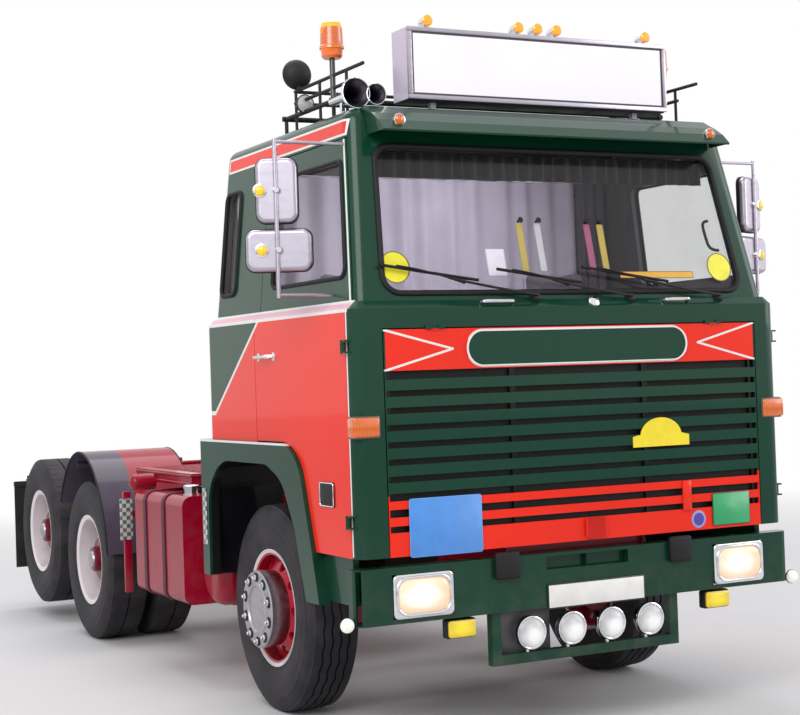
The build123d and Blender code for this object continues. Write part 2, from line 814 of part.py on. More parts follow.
for side, name in ((-1, "right"), (1, "left")):
    drum_in = KINGPIN_X + KNUCKLE_FACE + GAP - FRONT_TYRE_X
    write_wheel(f"front_{name}", side, AXLE_FRONT, TYRE_R, (FRONT_TYRE_X,),
                ((FRONT_DISC_OUT, 60, FRONT_TYRE_X),), (drum_in, FRONT_HUB_OUT, FRONT_HUB_R, FRONT_TYRE_X))
    for axle, y, z in (("drive", AXLE_DRIVE, TYRE_R), ("tag", AXLE_TAG, TYRE_R + TAG_LIFT)):
        inner_x = TWIN_OUTER_X - TWIN_SPACING
        face_x = (TWIN_OUTER_X + inner_x) / 2
        write_wheel(f"{axle}_{name}", side, y, z, (inner_x, TWIN_OUTER_X),
                    ((face_x + 14 - TWIN_OUTER_X, -70, TWIN_OUTER_X), (face_x - inner_x, 84, inner_x)),
                    (-120, 350, REAR_CAP_R, inner_x))

# Front axle beam, kingpins, knuckles and tie rod
with BuildPart() as front_axle:
    add(block_at(-KINGPIN_X + 60, KINGPIN_X - 60, FRONT_OVERHANG - 45, FRONT_OVERHANG + 45, BEAM_Z - 50,
                 BEAM_TOP))
    for side in (-1, 1):
        with BuildSketch(Plane.XY.offset(BEAM_Z - 30)):
            with Locations((side * KINGPIN_X, AXLE_FRONT)):
                Circle(50)
            with Locations((side * (KINGPIN_X - 45), AXLE_FRONT)):
                Rectangle(90, 84)
        extrude(amount=130)
        with BuildSketch(Plane.XY.offset(BEAM_Z - 80)):
            with Locations((side * KINGPIN_X, AXLE_FRONT)):
                Circle(KINGPIN_R)
        extrude(amount=240)
write(front_axle.part, "front_axle")

for side, name in ((-1, "right"), (1, "left")):
    with BuildPart() as knuckle:
        for low, high in ((BEAM_Z - 78, BEAM_Z - 36), (BEAM_Z + 106, BEAM_Z + 148)):
            with BuildSketch(Plane.XY.offset(low)):
                with Locations((side * KINGPIN_X, AXLE_FRONT)):
                    Circle(48)
                with Locations((side * (KINGPIN_X + 32), AXLE_FRONT)):
                    Rectangle(64, 96)
                with Locations((side * KINGPIN_X, AXLE_FRONT)):
                    Circle(KINGPIN_R + FIT, mode=Mode.SUBTRACT)
            extrude(amount=high - low)
        cheek_near = side * (KINGPIN_X + 56)
        cheek_far = side * (KINGPIN_X + KNUCKLE_FACE)
        add(block_at(min(cheek_near, cheek_far), max(cheek_near, cheek_far), FRONT_OVERHANG - 48,
                     FRONT_OVERHANG + 48, BEAM_Z - 78, BEAM_Z + 148))
        with BuildSketch(Plane.YZ.offset(side * (KINGPIN_X + 70))):
            with Locations((AXLE_FRONT, TYRE_R)):
                Circle(SPINDLE_R)
        extrude(amount=side * 230)
        arm_x = side * KINGPIN_X
        add(block_at(arm_x - 26, arm_x + 26, FRONT_OVERHANG + 40, FRONT_OVERHANG + STEER_ARM + 26,
                     BEAM_Z - 78, BEAM_Z - 50))
        with BuildSketch(Plane.XY.offset(TIE_ROD_Z - 22)):
            with Locations((arm_x, AXLE_FRONT + STEER_ARM)):
                Circle(11)
        extrude(amount=BEAM_Z - 78 - TIE_ROD_Z + 24)
    write(knuckle.part, f"knuckle_{name}")

with BuildPart() as tie_rod:
    with BuildSketch(Plane.YZ.offset(-KINGPIN_X)):
        with Locations((AXLE_FRONT + STEER_ARM, TIE_ROD_Z - 30)):
            Circle(TIE_ROD_R)
    extrude(amount=2 * KINGPIN_X)
    for side in (-1, 1):
        with BuildSketch(Plane.XY.offset(TIE_ROD_Z - 55)):
            with Locations((side * KINGPIN_X, AXLE_FRONT + STEER_ARM)):
                Circle(34)
        extrude(amount=44)
        with BuildSketch(Plane.XY.offset(TIE_ROD_Z - 60)):
            with Locations((side * KINGPIN_X, AXLE_FRONT + STEER_ARM)):
                Circle(11 + (FIT if side > 0 else 2))
        extrude(amount=70, mode=Mode.SUBTRACT)
write(tie_rod.part, "tie_rod")

# Rear axles: tubes, banjo and short spindles into the hubs
with BuildPart() as rear_axles:
    for y, z, banjo in ((AXLE_DRIVE, TYRE_R, BANJO_R), (AXLE_TAG, TYRE_R + TAG_LIFT, 0)):
        with BuildSketch(Plane.YZ.offset(-600)):
            with Locations((y, z)):
                Circle(AXLE_TUBE_R)
        extrude(amount=1200)
        with BuildSketch(Plane.YZ.offset(-960)):
            with Locations((y, z)):
                Circle(SPINDLE_R)
        extrude(amount=1920)
        if banjo:
            with BuildSketch(Plane.YZ.offset(-95)):
                with Locations((y, z)):
                    Circle(banjo)
            extrude(amount=190)
            rims = rear_axles.edges().filter_by(GeomType.CIRCLE)
            fillet(rims.filter_by(lambda rim: abs(rim.radius - banjo) < 1), 60)
write(rear_axles.part, "rear_axles")

# Spring places: middle station, offset from the centre line, underside height, half length, end rise
SPRINGS = (
    (FRONT_OVERHANG, FRONT_SPRING_X, FRONT_SPRING_Z, 600, 70),
    (FRONT_OVERHANG + WHEELBASE, REAR_SPRING_X, TYRE_R + AXLE_TUBE_R + 24, 500, 60),
    (FRONT_OVERHANG + WHEELBASE + TAG_SPACING, REAR_SPRING_X, TYRE_R + TAG_LIFT + AXLE_TUBE_R + 6, 470, 10),
)
AXLE_TOPS = (BEAM_TOP, TYRE_R + AXLE_TUBE_R, TYRE_R + TAG_LIFT + AXLE_TUBE_R)
LEAF_END = 16

# Frame rails, cross members and the spring hangers
RAIL_END = TAIL - FACE
TAIL_PLATE = 12
TAIL_SET = 4
CAB_MOUNT_STATION = CAB_LENGTH - 60
CROSS_MEMBERS = ((150, 60), (2250, 80), (3560, 80), (5050, 80))
rail_section = (
    (RAIL_X, RAIL_LOW),
    (RAIL_X, RAIL_TOP),
    (RAIL_X - RAIL_FLANGE, RAIL_TOP),
    (RAIL_X - RAIL_FLANGE, RAIL_TOP - RAIL_T),
    (RAIL_X - RAIL_T, RAIL_TOP - RAIL_T),
    (RAIL_X - RAIL_T, RAIL_LOW + RAIL_T),
    (RAIL_X - RAIL_FLANGE, RAIL_LOW + RAIL_T),
    (RAIL_X - RAIL_FLANGE, RAIL_LOW),
)
with BuildPart() as frame_rails:
    for side in (-1, 1):
        add(front_prism([(side * x, z) for x, z in rail_section], RAIL_FRONT, RAIL_END))
    for station, depth in CROSS_MEMBERS:
        add(block_at(-RAIL_X + RAIL_T / 2, RAIL_X - RAIL_T / 2, station - depth / 2, station + depth / 2,
                     RAIL_LOW + 30, RAIL_TOP - 30))
    web_middle = RAIL_X - RAIL_T / 2
    add(block_at(-web_middle, web_middle, RAIL_END - TAIL_PLATE - TAIL_SET, RAIL_END - TAIL_SET,
                 RAIL_LOW + 30, RAIL_TOP - 30))
    for station, x, low, half, rise in SPRINGS:
        eye_top = low + rise + LEAF_END
        for side in (-1, 1):
            for end in (-1, 1):
                middle = station + end * (half - 35)
                x0 = side * (x - SPRING_W / 2)
                x1 = side * (x + SPRING_W / 2)
                inside = side * (RAIL_X - RAIL_T / 2)
                top = RAIL_LOW + 2 if x < RAIL_X - RAIL_T else RAIL_LOW + 120
                if x > RAIL_X:
                    x0 = inside
                add(block_at(min(x0, x1), max(x0, x1), middle - 35, middle + 35, eye_top + FIT, top))
    for side in (-1, 1):
        web_in = side * (RAIL_X - RAIL_T - 2)
        bracket_in = side * (RAIL_X - RAIL_FLANGE)
        bracket_out = side * (RAIL_X - 44)
        x_low = min(bracket_in, bracket_out)
        x_high = max(bracket_in, bracket_out)
        add(block_at(x_low, x_high, TILT_STATION - 18, RAIL_FRONT + 40, TILT_Z - 24, TILT_Z + 24))
        add(block_at(min(bracket_in, web_in), max(bracket_in, web_in), RAIL_FRONT, RAIL_FRONT + 40,
                     TILT_Z - 24, TILT_Z + 24))
        with BuildSketch(Plane.YZ.offset(side * (RAIL_X - RAIL_FLANGE))):
            with Locations((y_at(TILT_STATION), TILT_Z)):
                Circle(TILT_PIN_R)
        extrude(amount=side * (TUNNEL_HALF + 8 - RAIL_X + RAIL_FLANGE))
        add(block_at(side * RAIL_X - side * RAIL_FLANGE / 2 - 40, side * RAIL_X - side * RAIL_FLANGE / 2 + 40,
                     CAB_MOUNT_STATION - 14, CAB_MOUNT_STATION + 14, RAIL_TOP - 2, FLOOR_Z - FLOOR_T - FIT))
    with BuildSketch(Plane.XZ.offset(-TAIL - 5)):
        with Locations((0, (RAIL_LOW + RAIL_TOP) / 2)):
            with GridLocations(TOW_PATTERN_X, TOW_PATTERN_Z, 2, 2):
                Circle(TOW_HOLE_R)
    extrude(amount=TAIL_PLATE + TAIL_SET + 10, mode=Mode.SUBTRACT)
write(frame_rails.part, "frame_rails")

# Leaf springs on their axle seats
with BuildPart() as leaf_springs:
    for (station, x, low, half, rise), axle_top in zip(SPRINGS, AXLE_TOPS):
        shape = (
            (-1, rise, LEAF_END),
            (-0.84, rise, LEAF_END),
            (-0.4, rise * 0.3, 36),
            (0, 0, SPRING_T),
            (0.4, rise * 0.3, 36),
            (0.84, rise, LEAF_END),
            (1, rise, LEAF_END),
        )
        under = [(station + t * half, low + z) for t, z, thick in shape]
        over = [(station + t * half, low + z + thick) for t, z, thick in shape]
        for side in (-1, 1):
            add(side_prism(under + over[::-1], side * x - SPRING_W / 2, side * x + SPRING_W / 2))
            add(block_at(side * x - SPRING_W / 2, side * x + SPRING_W / 2, station - 60, station + 60,
                         axle_top + FIT, low + 4))
write(leaf_springs.part, "leaf_springs")

# Engine, radiator and gearbox
with BuildPart() as engine:
    add(block_at(-ENGINE_HALF, ENGINE_HALF, 560, 1720, 600, 1590))
    for side in (-1, 1):
        for station in (760, 1560):
            x0 = side * (ENGINE_HALF - 2)
            x1 = side * (RAIL_X - RAIL_T - FIT)
            add(block_at(min(x0, x1), max(x0, x1), station - 50, station + 50, 860, 940))
write(engine.part, "engine")
with BuildPart() as radiator:
    add(block_at(-RADIATOR_HALF, RADIATOR_HALF, 300, 400, 870, 1580))
    for side in (-1, 1):
        x0 = side * (RADIATOR_HALF - 2)
        x1 = side * (RAIL_X - RAIL_T - FIT)
        add(block_at(min(x0, x1), max(x0, x1), 320, 380, 890, 950))
write(radiator.part, "radiator")

# Bumper with the lamp frame below it
with BuildPart() as front_bumper:
    add(block_at(-BUMPER_HALF, BUMPER_HALF, 0, BUMPER_DEPTH, BUMPER_LOW, BUMPER_TOP))
    front_corners = front_bumper.edges().filter_by(Axis.Z).group_by(Axis.Y)[0]
    fillet(front_corners, 50)
    add(block_at(-BUMPER_HALF + BUMPER_T, BUMPER_HALF - BUMPER_T, BUMPER_T, BUMPER_DEPTH + 1,
                 BUMPER_LOW + BUMPER_T, BUMPER_TOP - BUMPER_T), mode=Mode.SUBTRACT)
    add(block_at(-STEP_HALF, STEP_HALF, -1, BUMPER_T + 1, STEP_LOW, STEP_TOP), mode=Mode.SUBTRACT)
    for side in (-1, 1):
        hole_x = side * HEADLAMP_X
        add(block_at(hole_x - HEADLAMP_W / 2 - FIT, hole_x + HEADLAMP_W / 2 + FIT, -5, 20,
                     HEADLAMP_Z - HEADLAMP_H / 2 - FIT, HEADLAMP_Z + HEADLAMP_H / 2 + FIT),
            mode=Mode.SUBTRACT)
        leg = side * (LAMP_BAR_HALF - LAMP_BAR_T / 2)
        add(block_at(leg - LAMP_BAR_T / 2, leg + LAMP_BAR_T / 2, 20, 20 + LAMP_BAR_T, LAMP_BAR_LOW,
                     BUMPER_LOW + 2))
        rail = side * (RAIL_X - 40)
        add(block_at(rail - 30, rail + 30, BUMPER_T - 1, RAIL_FRONT, RAIL_LOW + 2, BUMPER_TOP - 2))
    add(block_at(-LAMP_BAR_HALF, LAMP_BAR_HALF, 20, 20 + LAMP_BAR_T, LAMP_BAR_LOW, LAMP_BAR_LOW + LAMP_BAR_T))
write(front_bumper.part, "front_bumper")

with BuildPart() as headlamps:
    for side in (-1, 1):
        with BuildSketch(Plane.XZ.offset(-y_at(-FACE_PROUD))):
            with Locations((side * HEADLAMP_X, HEADLAMP_Z)):
                RectangleRounded(HEADLAMP_W, HEADLAMP_H, 26)
        extrude(amount=-80 - FACE_PROUD)
    fillet(headlamps.edges().group_by(Axis.Y)[0], 9)
write(headlamps.part, "headlamps")

with BuildPart() as spot_lamps:
    bowl = (
        (0, 0),
        (0, SPOT_R - 30),
        (8, SPOT_R - 6),
        (16, SPOT_R),
        (30, SPOT_R),
        (58, SPOT_R - 28),
        (76, SPOT_R - 50),
        (76, 0),
    )
    for lamp_x in SPOT_X:
        add(turned_along(bowl, lamp_x, -8, SPOT_Z))
        with BuildSketch(Plane.XY.offset(LAMP_BAR_LOW + LAMP_BAR_T + FIT)):
            with Locations((lamp_x, y_at(40))):
                Circle(9)
        extrude(amount=SPOT_Z - LAMP_BAR_LOW - LAMP_BAR_T - SPOT_R + 10)
write(spot_lamps.part, "spot_lamps")

# Tank, battery box, air tank, deck
with BuildPart() as fuel_tank:
    add(block_at(-TANK_OUT, -TANK_OUT + TANK_W, TANK_FRONT, TANK_FRONT + TANK_LENGTH, TANK_LOW, TANK_TOP))
    fillet(fuel_tank.edges().filter_by(Axis.Y), 60)
    for station in (TANK_FRONT + 200, TANK_FRONT + TANK_LENGTH - 200):
        add(block_at(-TANK_OUT + TANK_W - 5, -RAIL_X - FIT, station - 40, station + 40, RAIL_LOW + 30,
                     RAIL_TOP - 30))
write(fuel_tank.part, "fuel_tank")

with BuildPart() as battery_box:
    add(block_at(640, TANK_OUT, TANK_FRONT, TANK_FRONT + TANK_LENGTH, 560, 1040))
    fillet(battery_box.edges().filter_by(Axis.Y), 30)
    for station in (TANK_FRONT + 200, TANK_FRONT + TANK_LENGTH - 200):
        add(block_at(RAIL_X + FIT, 645, station - 40, station + 40, RAIL_LOW + 30, RAIL_TOP - 30))
write(battery_box.part, "battery_box")

with BuildPart() as air_tanks:
    for side in (-1, 1):
        add(rod_across(side * (RAIL_X + 40), side * (RAIL_X + 720), AIR_TANK_STATION, AIR_TANK_Z, AIR_TANK_R))
    ends = air_tanks.edges().filter_by(GeomType.CIRCLE)
    fillet(ends, 90)
    for side in (-1, 1):
        near = side * (RAIL_X + FIT)
        far = side * (RAIL_X + 150)
        add(block_at(min(near, far), max(near, far), AIR_TANK_STATION - 40, AIR_TANK_STATION + 40,
                     AIR_TANK_Z + 60, RAIL_TOP - 60))
write(air_tanks.part, "air_tanks")

with BuildPart() as catwalk:
    add(block_at(-DECK_HALF, DECK_HALF, DECK_FRONT, DECK_FRONT + DECK_LENGTH, DECK_Z - DECK_T, DECK_Z))
    for side in (-1, 1):
        for station in (DECK_FRONT + 120, DECK_FRONT + DECK_LENGTH - 120):
            post_x = side * (RAIL_X - 30)
            add(block_at(post_x - 30, post_x + 30, station - 30, station + 30, RAIL_TOP + FIT,
                         DECK_Z - DECK_T + 2))
write(catwalk.part, "catwalk")

# Fifth wheel with its kingpin throat
FIFTH_Y = AXLE_DRIVE - FIFTH_FORWARD
with BuildPart() as fifth_wheel:
    with BuildSketch(Plane.XY.offset(FIFTH_PLATE_Z - FIFTH_PLATE_T)):
        with Locations((0, FIFTH_Y)):
            Circle(FIFTH_HALF)
            Rectangle(2 * FIFTH_HALF, FIFTH_LENGTH * 0.3)
        with Locations((0, FIFTH_Y + 260)):
            Rectangle(560, 360)
        with Locations((0, FIFTH_Y)):
            Circle(KINGPIN_BORE_R, mode=Mode.SUBTRACT)
        with BuildLine():
            throat = ((-30, 70), (30, 70), (150, 450), (-150, 450))
            Polyline(*[(x, FIFTH_Y + back) for x, back in throat], close=True)
        make_face(mode=Mode.SUBTRACT)
    extrude(amount=FIFTH_PLATE_T)
    for side in (-1, 1):
        add(block_at(side * 345 - 40, side * 345 + 40, FIFTH_Y - FACE - 60, FIFTH_Y - FACE + 60,
                     RAIL_TOP + 40, FIFTH_PLATE_Z - FIFTH_PLATE_T + 2))
        add(block_at(side * 350 - 50, side * 350 + 50, FIFTH_Y - FACE - 280, FIFTH_Y - FACE + 280,
                     RAIL_TOP + FIT, RAIL_TOP + 42))
write(fifth_wheel.part, "fifth_wheel")

# Rear mudguards on stays, and the flaps behind the last wheels
GUARD_STATION = FRONT_OVERHANG + WHEELBASE + GUARD_SET
STAY_ANGLES = (62, 118)
with BuildPart() as rear_mudguards:
    for side in (-1, 1):
        x_low = min(side * GUARD_IN, side * GUARD_OUT)
        x_high = max(side * GUARD_IN, side * GUARD_OUT)
        with BuildPart() as guard:
            with BuildSketch(Plane.YZ.offset(x_low)):
                with Locations((y_at(GUARD_STATION), TYRE_R)):
                    Ellipse(GUARD_HALF, GUARD_RISE)
                    Ellipse(GUARD_HALF - GUARD_T, GUARD_RISE - GUARD_T, mode=Mode.SUBTRACT)
            extrude(amount=x_high - x_low)
            add(block_at(-1300, 1300, GUARD_STATION - GUARD_HALF - 10, GUARD_STATION, -300, GUARD_FRONT_Z),
                mode=Mode.SUBTRACT)
            add(block_at(-1300, 1300, GUARD_STATION - 1, GUARD_STATION + GUARD_HALF + 10, -300, GUARD_REAR_Z),
                mode=Mode.SUBTRACT)
        add(guard.part)
        for angle in STAY_ANGLES:
            inset = GUARD_T + GUARD_STAY_R - 3
            station = GUARD_STATION + (GUARD_HALF - inset) * math.cos(math.radians(angle))
            z = TYRE_R + (GUARD_RISE - inset) * math.sin(math.radians(angle))
            foot_in = side * (RAIL_X + FIT)
            foot_out = side * (RAIL_X + 36)
            add(rod_across(side * (RAIL_X + FIT), side * (GUARD_OUT - 60), station, z, GUARD_STAY_R))
            add(block_at(min(foot_in, foot_out), max(foot_in, foot_out), station - GUARD_STAY_R,
                         station + GUARD_STAY_R, RAIL_TOP - 80, z))
write(rear_mudguards.part, "rear_mudguards")

with BuildPart() as mud_flaps:
    for side in (-1, 1):
        station = RAIL_END - 60
        flap_in = side * (GUARD_OUT - FLAP_W)
        bar_in = side * (RAIL_X + FIT)
        edge = side * GUARD_OUT
        add(block_at(min(flap_in, edge), max(flap_in, edge), station - 5, station + 5, FLAP_LOW, FLAP_TOP))
        add(block_at(min(bar_in, edge), max(bar_in, edge), station - 20, station + 20, FLAP_TOP - 40,
                     FLAP_TOP))
write(mud_flaps.part, "mud_flaps")

# Dashboard, steering wheel, seats and bunk
with BuildPart() as dashboard:
    dash_back = FIREWALL + 12 + FIT
    dash_profile = ((dash_back, 1720), (dash_back, 2040), (420, 2020), (470, 1900), (330, 1700))
    add(side_prism(dash_profile, -1120, 1120, dash_profile[2:4], 30))
    with BuildSketch(column_plane(-HUB_DEPTH - FIT)):
        Circle(30)
    extrude(amount=-COLUMN_LENGTH)
    add(block_at(WHEEL_X - 25, WHEEL_X + 25, 440, 560, 1880, 1920))
write(dashboard.part, "dashboard")

with BuildPart() as steering_wheel:
    with BuildSketch(column_plane(0)):
        Circle(40)
    extrude(amount=-HUB_DEPTH)
    with BuildSketch(column_plane(-6)):
        Rectangle(2 * WHEEL_R - 40, 30)
        Circle(62)
    extrude(amount=-10)
    with Locations(column_plane(-12)):
        Torus(WHEEL_R - 13, 13)
write(steering_wheel.part, "steering_wheel")

with BuildPart() as seats:
    for seat_x in (-WHEEL_X, WHEEL_X):
        add(block_at(seat_x - 190, seat_x + 190, 820, 1220, FLOOR_Z + FIT, FLOOR_Z + 200))
        add(block_at(seat_x - 204, seat_x + 204, 740, 1250, FLOOR_Z + 190, FLOOR_Z + 340))
        add(block_at(seat_x - 204, seat_x + 204, 1170, 1290, FLOOR_Z + 330, FLOOR_Z + 950))
write(seats.part, "seats")

with BuildPart() as bunk:
    add(block_at(-1080, 1080, 1330, CAB_LENGTH - WALL - 62, TUNNEL_TOP + 60, TUNNEL_TOP + 180))
    for side in (-1, 1):
        add(block_at(side * 760 - 300, side * 760 + 300, 1380, CAB_LENGTH - WALL - 70, FLOOR_Z + FIT,
                     TUNNEL_TOP + 61))
write(bunk.part, "bunk")

# Sun visor, sign, rack, lamps and horns on the roof
with BuildPart() as sun_visor:
    foot = ROOF_TOP_Z + FIT
    visor_profile = (
        (ROOF_FRONT + 50, foot),
        (ROOF_FRONT + 10, foot),
        (180, 2968),
        (112, 2926),
        (60, 2878),
        (54, 2886),
        (108, 2936),
        (178, 2979),
        (ROOF_FRONT + 8, foot + 10),
        (ROOF_FRONT + 50, foot + 10),
    )
    add(side_prism(visor_profile, -VISOR_HALF, VISOR_HALF))
    cheek = ((ROOF_FRONT + 10, foot + 4), (180, 2973), (112, 2931), (59, 2882), (screen_at(2882) - 6, 2882),
             (screen_at(2950) - 6, 2950))
    for x in (-VISOR_HALF, VISOR_HALF - 5):
        add(side_prism(cheek, x, x + 5))
write(sun_visor.part, "sun_visor")

with BuildPart() as roof_sign:
    add(block_at(SIGN_X - SIGN_HALF, SIGN_X + SIGN_HALF, SIGN_STATION, SIGN_STATION + SIGN_DEPTH, SIGN_LOW,
                 SIGN_TOP))
    for leg_x in (SIGN_X - 600, SIGN_X + 600):
        add(block_at(leg_x - 15, leg_x + 15, SIGN_STATION + 60, SIGN_STATION + 90, ROOF_TOP_Z + FIT,
                     SIGN_LOW + 2))
write(roof_sign.part, "roof_sign")

with BuildPart() as roof_rack:
    for station in RACK_STATIONS:
        with BuildSketch(Plane.YZ.offset(-RACK_HALF - 20)):
            with Locations((y_at(station), RACK_Z)):
                Circle(RACK_R)
        extrude(amount=2 * RACK_HALF + 40)
    for x in (-RACK_HALF, RACK_HALF):
        with BuildSketch(Plane.XZ.offset(-y_at(RACK_STATIONS[0] - 20))):
            with Locations((x, RACK_Z)):
                Circle(RACK_R - 2)
        extrude(amount=-(RACK_STATIONS[1] - RACK_STATIONS[0] + 40))
        for station in RACK_STATIONS:
            with BuildSketch(Plane.XY.offset(ROOF_TOP_Z + FIT)):
                with Locations((x, y_at(station))):
                    Circle(RACK_R - 4)
            extrude(amount=RACK_Z - ROOF_TOP_Z)
write(roof_rack.part, "roof_rack")

beacon_outline = (
    (0, 0),
    (BEACON_R - 20, 0),
    (BEACON_R - 10, 12),
    (BEACON_R - 6, 44),
    (BEACON_R, 48),
    (BEACON_R, 60),
    (BEACON_R - 4, 64),
    (BEACON_R - 6, 150),
    (BEACON_R - 14, 176),
    (BEACON_R - 30, BEACON_TOP - BEACON_LOW),
    (0, BEACON_TOP - BEACON_LOW),
)
bullet_outline = (
    (0, 0),
    (0, LAMP_R - 8),
    (6, LAMP_R - 1),
    (12, LAMP_R),
    (56, LAMP_R - 4),
    (92, LAMP_R - 15),
    (108, 4),
    (108, 0),
)
with BuildPart() as roof_lamps:
    for x in (-RACK_HALF, RACK_HALF):
        add(turned_up(beacon_outline, x, RACK_STATIONS[0], BEACON_LOW))
        pole_foot = RACK_Z + RACK_R + FIT
        pole_height = BEACON_LOW + 2 - pole_foot
        pole = ((0, 0), (RACK_R, 0), (RACK_R, pole_height), (0, pole_height))
        add(turned_up(pole, x, RACK_STATIONS[0], pole_foot))
    for x in LAMP_ROW:
        lamp_x = SIGN_X + x
        add(turned_along(bullet_outline, lamp_x, SIGN_STATION + 20, SIGN_TOP + 14 + LAMP_R))
        add(block_at(lamp_x - 14, lamp_x + 14, SIGN_STATION + 40, SIGN_STATION + 80, SIGN_TOP + FIT,
                     SIGN_TOP + 22))
write(roof_lamps.part, "roof_lamps")

trumpet_outline = (
    (0, 0),
    (0, 74),
    (8, 75),
    (24, 58),
    (52, 42),
    (110, 29),
    (200, 22),
    (280, 20),
    (280, 0),
)
with BuildPart() as air_horns:
    for x, reach in ((HORN_X, 1), (HORN_X + 108, 0.7)):
        outline = tuple((back * reach, radius * reach) for back, radius in trumpet_outline)
        add(turned_along(outline, x, HORN_STATION, HORN_Z))
        add(block_at(x - 10, x + 10, HORN_STATION + 150, HORN_STATION + 170, ROOF_TOP_Z + FIT, HORN_Z - 10))
write(air_horns.part, "air_horns")

# Mirrors: two rounded shells behind a bent arm on each door
MIRROR_SHELLS = ((-4, 2615, 192, 300), (-7, 2338, 306, 195))
for side, name in ((-1, "right"), (1, "left")):
    station = MIRROR_STATIONS[name]
    arm_x = side * MIRROR_ARM_X
    turn = math.radians(MIRROR_TURN)
    ahead = Vector(side * math.sin(turn), -math.cos(turn), 0)
    with BuildPart() as mirrors:
        for shift, z, width, height in MIRROR_SHELLS:
            middle = Vector(arm_x, y_at(station), z) - ahead * 7
            face = Plane(origin=middle, x_dir=(math.cos(turn), side * math.sin(turn), 0), z_dir=ahead)
            with BuildPart() as shell:
                with BuildSketch(face):
                    with Locations((side * shift, 0)):
                        RectangleRounded(width, height, 44)
                extrude(amount=-MIRROR_DEPTH)
                fillet(shell.faces().sort_by(Axis(middle, ahead))[-1].edges(), 20)
            add(shell.part)
        for z in (MIRROR_LOW, MIRROR_HIGH):
            x_in = side * (side_at(z - MIRROR_ARM_R) + FIT)
            add(rod_across(x_in, arm_x, station, z, MIRROR_ARM_R - 2))
        with BuildSketch(Plane.XY.offset(MIRROR_LOW - 14)):
            with Locations((arm_x, y_at(station))):
                Circle(MIRROR_ARM_R)
        extrude(amount=MIRROR_HIGH - MIRROR_LOW + 28)
    write(mirrors.part, f"mirrors_{name}")
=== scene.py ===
# %% [markdown]
# # A decorated tractor unit
# A road tractor of the cab-over kind is a tall box cab on a ladder frame, with a coupling behind it.
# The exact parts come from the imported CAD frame, in metres, and nothing here moves or resizes them.
# This notebook gives every surface its finish and adds the small things: tread, nuts, lamps, wipers
# and cloth.

import math

import bmesh
import bpy
from mathutils import Matrix, Vector, noise


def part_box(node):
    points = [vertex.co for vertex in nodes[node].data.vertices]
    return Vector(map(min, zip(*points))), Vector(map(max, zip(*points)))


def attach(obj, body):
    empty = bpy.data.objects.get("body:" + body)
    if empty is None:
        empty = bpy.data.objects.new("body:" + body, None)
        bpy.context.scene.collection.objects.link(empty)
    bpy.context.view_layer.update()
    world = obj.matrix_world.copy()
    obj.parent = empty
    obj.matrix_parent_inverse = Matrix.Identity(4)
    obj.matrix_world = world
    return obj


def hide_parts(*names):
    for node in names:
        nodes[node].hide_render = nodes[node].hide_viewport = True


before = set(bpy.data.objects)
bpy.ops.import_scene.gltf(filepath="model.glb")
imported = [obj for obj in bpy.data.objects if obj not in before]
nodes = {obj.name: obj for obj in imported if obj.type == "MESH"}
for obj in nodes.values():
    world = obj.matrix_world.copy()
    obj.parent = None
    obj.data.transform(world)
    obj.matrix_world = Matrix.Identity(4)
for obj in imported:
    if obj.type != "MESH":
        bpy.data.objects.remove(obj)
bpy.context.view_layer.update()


def middle(node):
    """Middle of a CAD node's box."""
    low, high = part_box(node)
    return (Vector(low) + Vector(high)) / 2


# %% [markdown]
# ## Sizes read from the frame
# A station is a distance behind the flat front of the bumper, as in the CAD source.
# Everything that is placed here hangs on these few values, so a change of the CAD carries over.

# %% Sizes read from the frame
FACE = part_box("front_bumper")[0].y
CAB_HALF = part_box("rear_wall")[1].x
CAB_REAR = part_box("rear_wall")[1].y
ROOF_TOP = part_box("roof")[1].z
BELT, LEDGE_TOP = 2.05, 2.086
LEDGE_IN = 0.039
SCREEN_SLOPE, SIDE_SLOPE, REAR_SLOPE = 0.2398, 0.1032, 0.0242
WHEELS = {
    f"{axle}_{side}": middle(f"tyre_{axle}_{side}")
    for axle in ("front", "drive", "tag")
    for side in ("left", "right")
}
TYRE_R = (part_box("tyre_front_left")[1].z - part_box("tyre_front_left")[0].z) / 2
SIDES = ((-1, "right"), (1, "left"))
ACROSS, AHEAD, BACK, UP = Vector((1, 0, 0)), Vector((0, -1, 0)), Vector((0, 1, 0)), Vector((0, 0, 1))
print("face plane", round(FACE, 3), "tyre radius", round(TYRE_R, 3))


def at(x, station, z):
    """A point from its station behind the front."""
    return Vector((x, FACE + station, z))


def screen_station(z):
    """Station of the raked windscreen's outer plane."""
    return LEDGE_IN + (z - LEDGE_TOP) * SCREEN_SLOPE


def side_half(z):
    """Half width of the cab above its belt."""
    return CAB_HALF - LEDGE_IN - (z - LEDGE_TOP) * SIDE_SLOPE


# %% [markdown]
# ## Camera
# The camera was solved from the photograph with known sizes, such as the number plate and the tyres.
# Its place and turn are real values, and the lens follows from its focal length in pixels.

# %% Camera
PHOTO_WIDTH = 800
SENSOR = 36.0
CAMERA_PLACE = at(-4.362, -6.716, 1.741)
CAMERA_YAW, CAMERA_PITCH, CAMERA_ROLL = 0.4797, 0.0211, -0.0343
FOCAL_PIXELS = 1640.0
SHIFT_PIXELS = (21.5, -17.5)

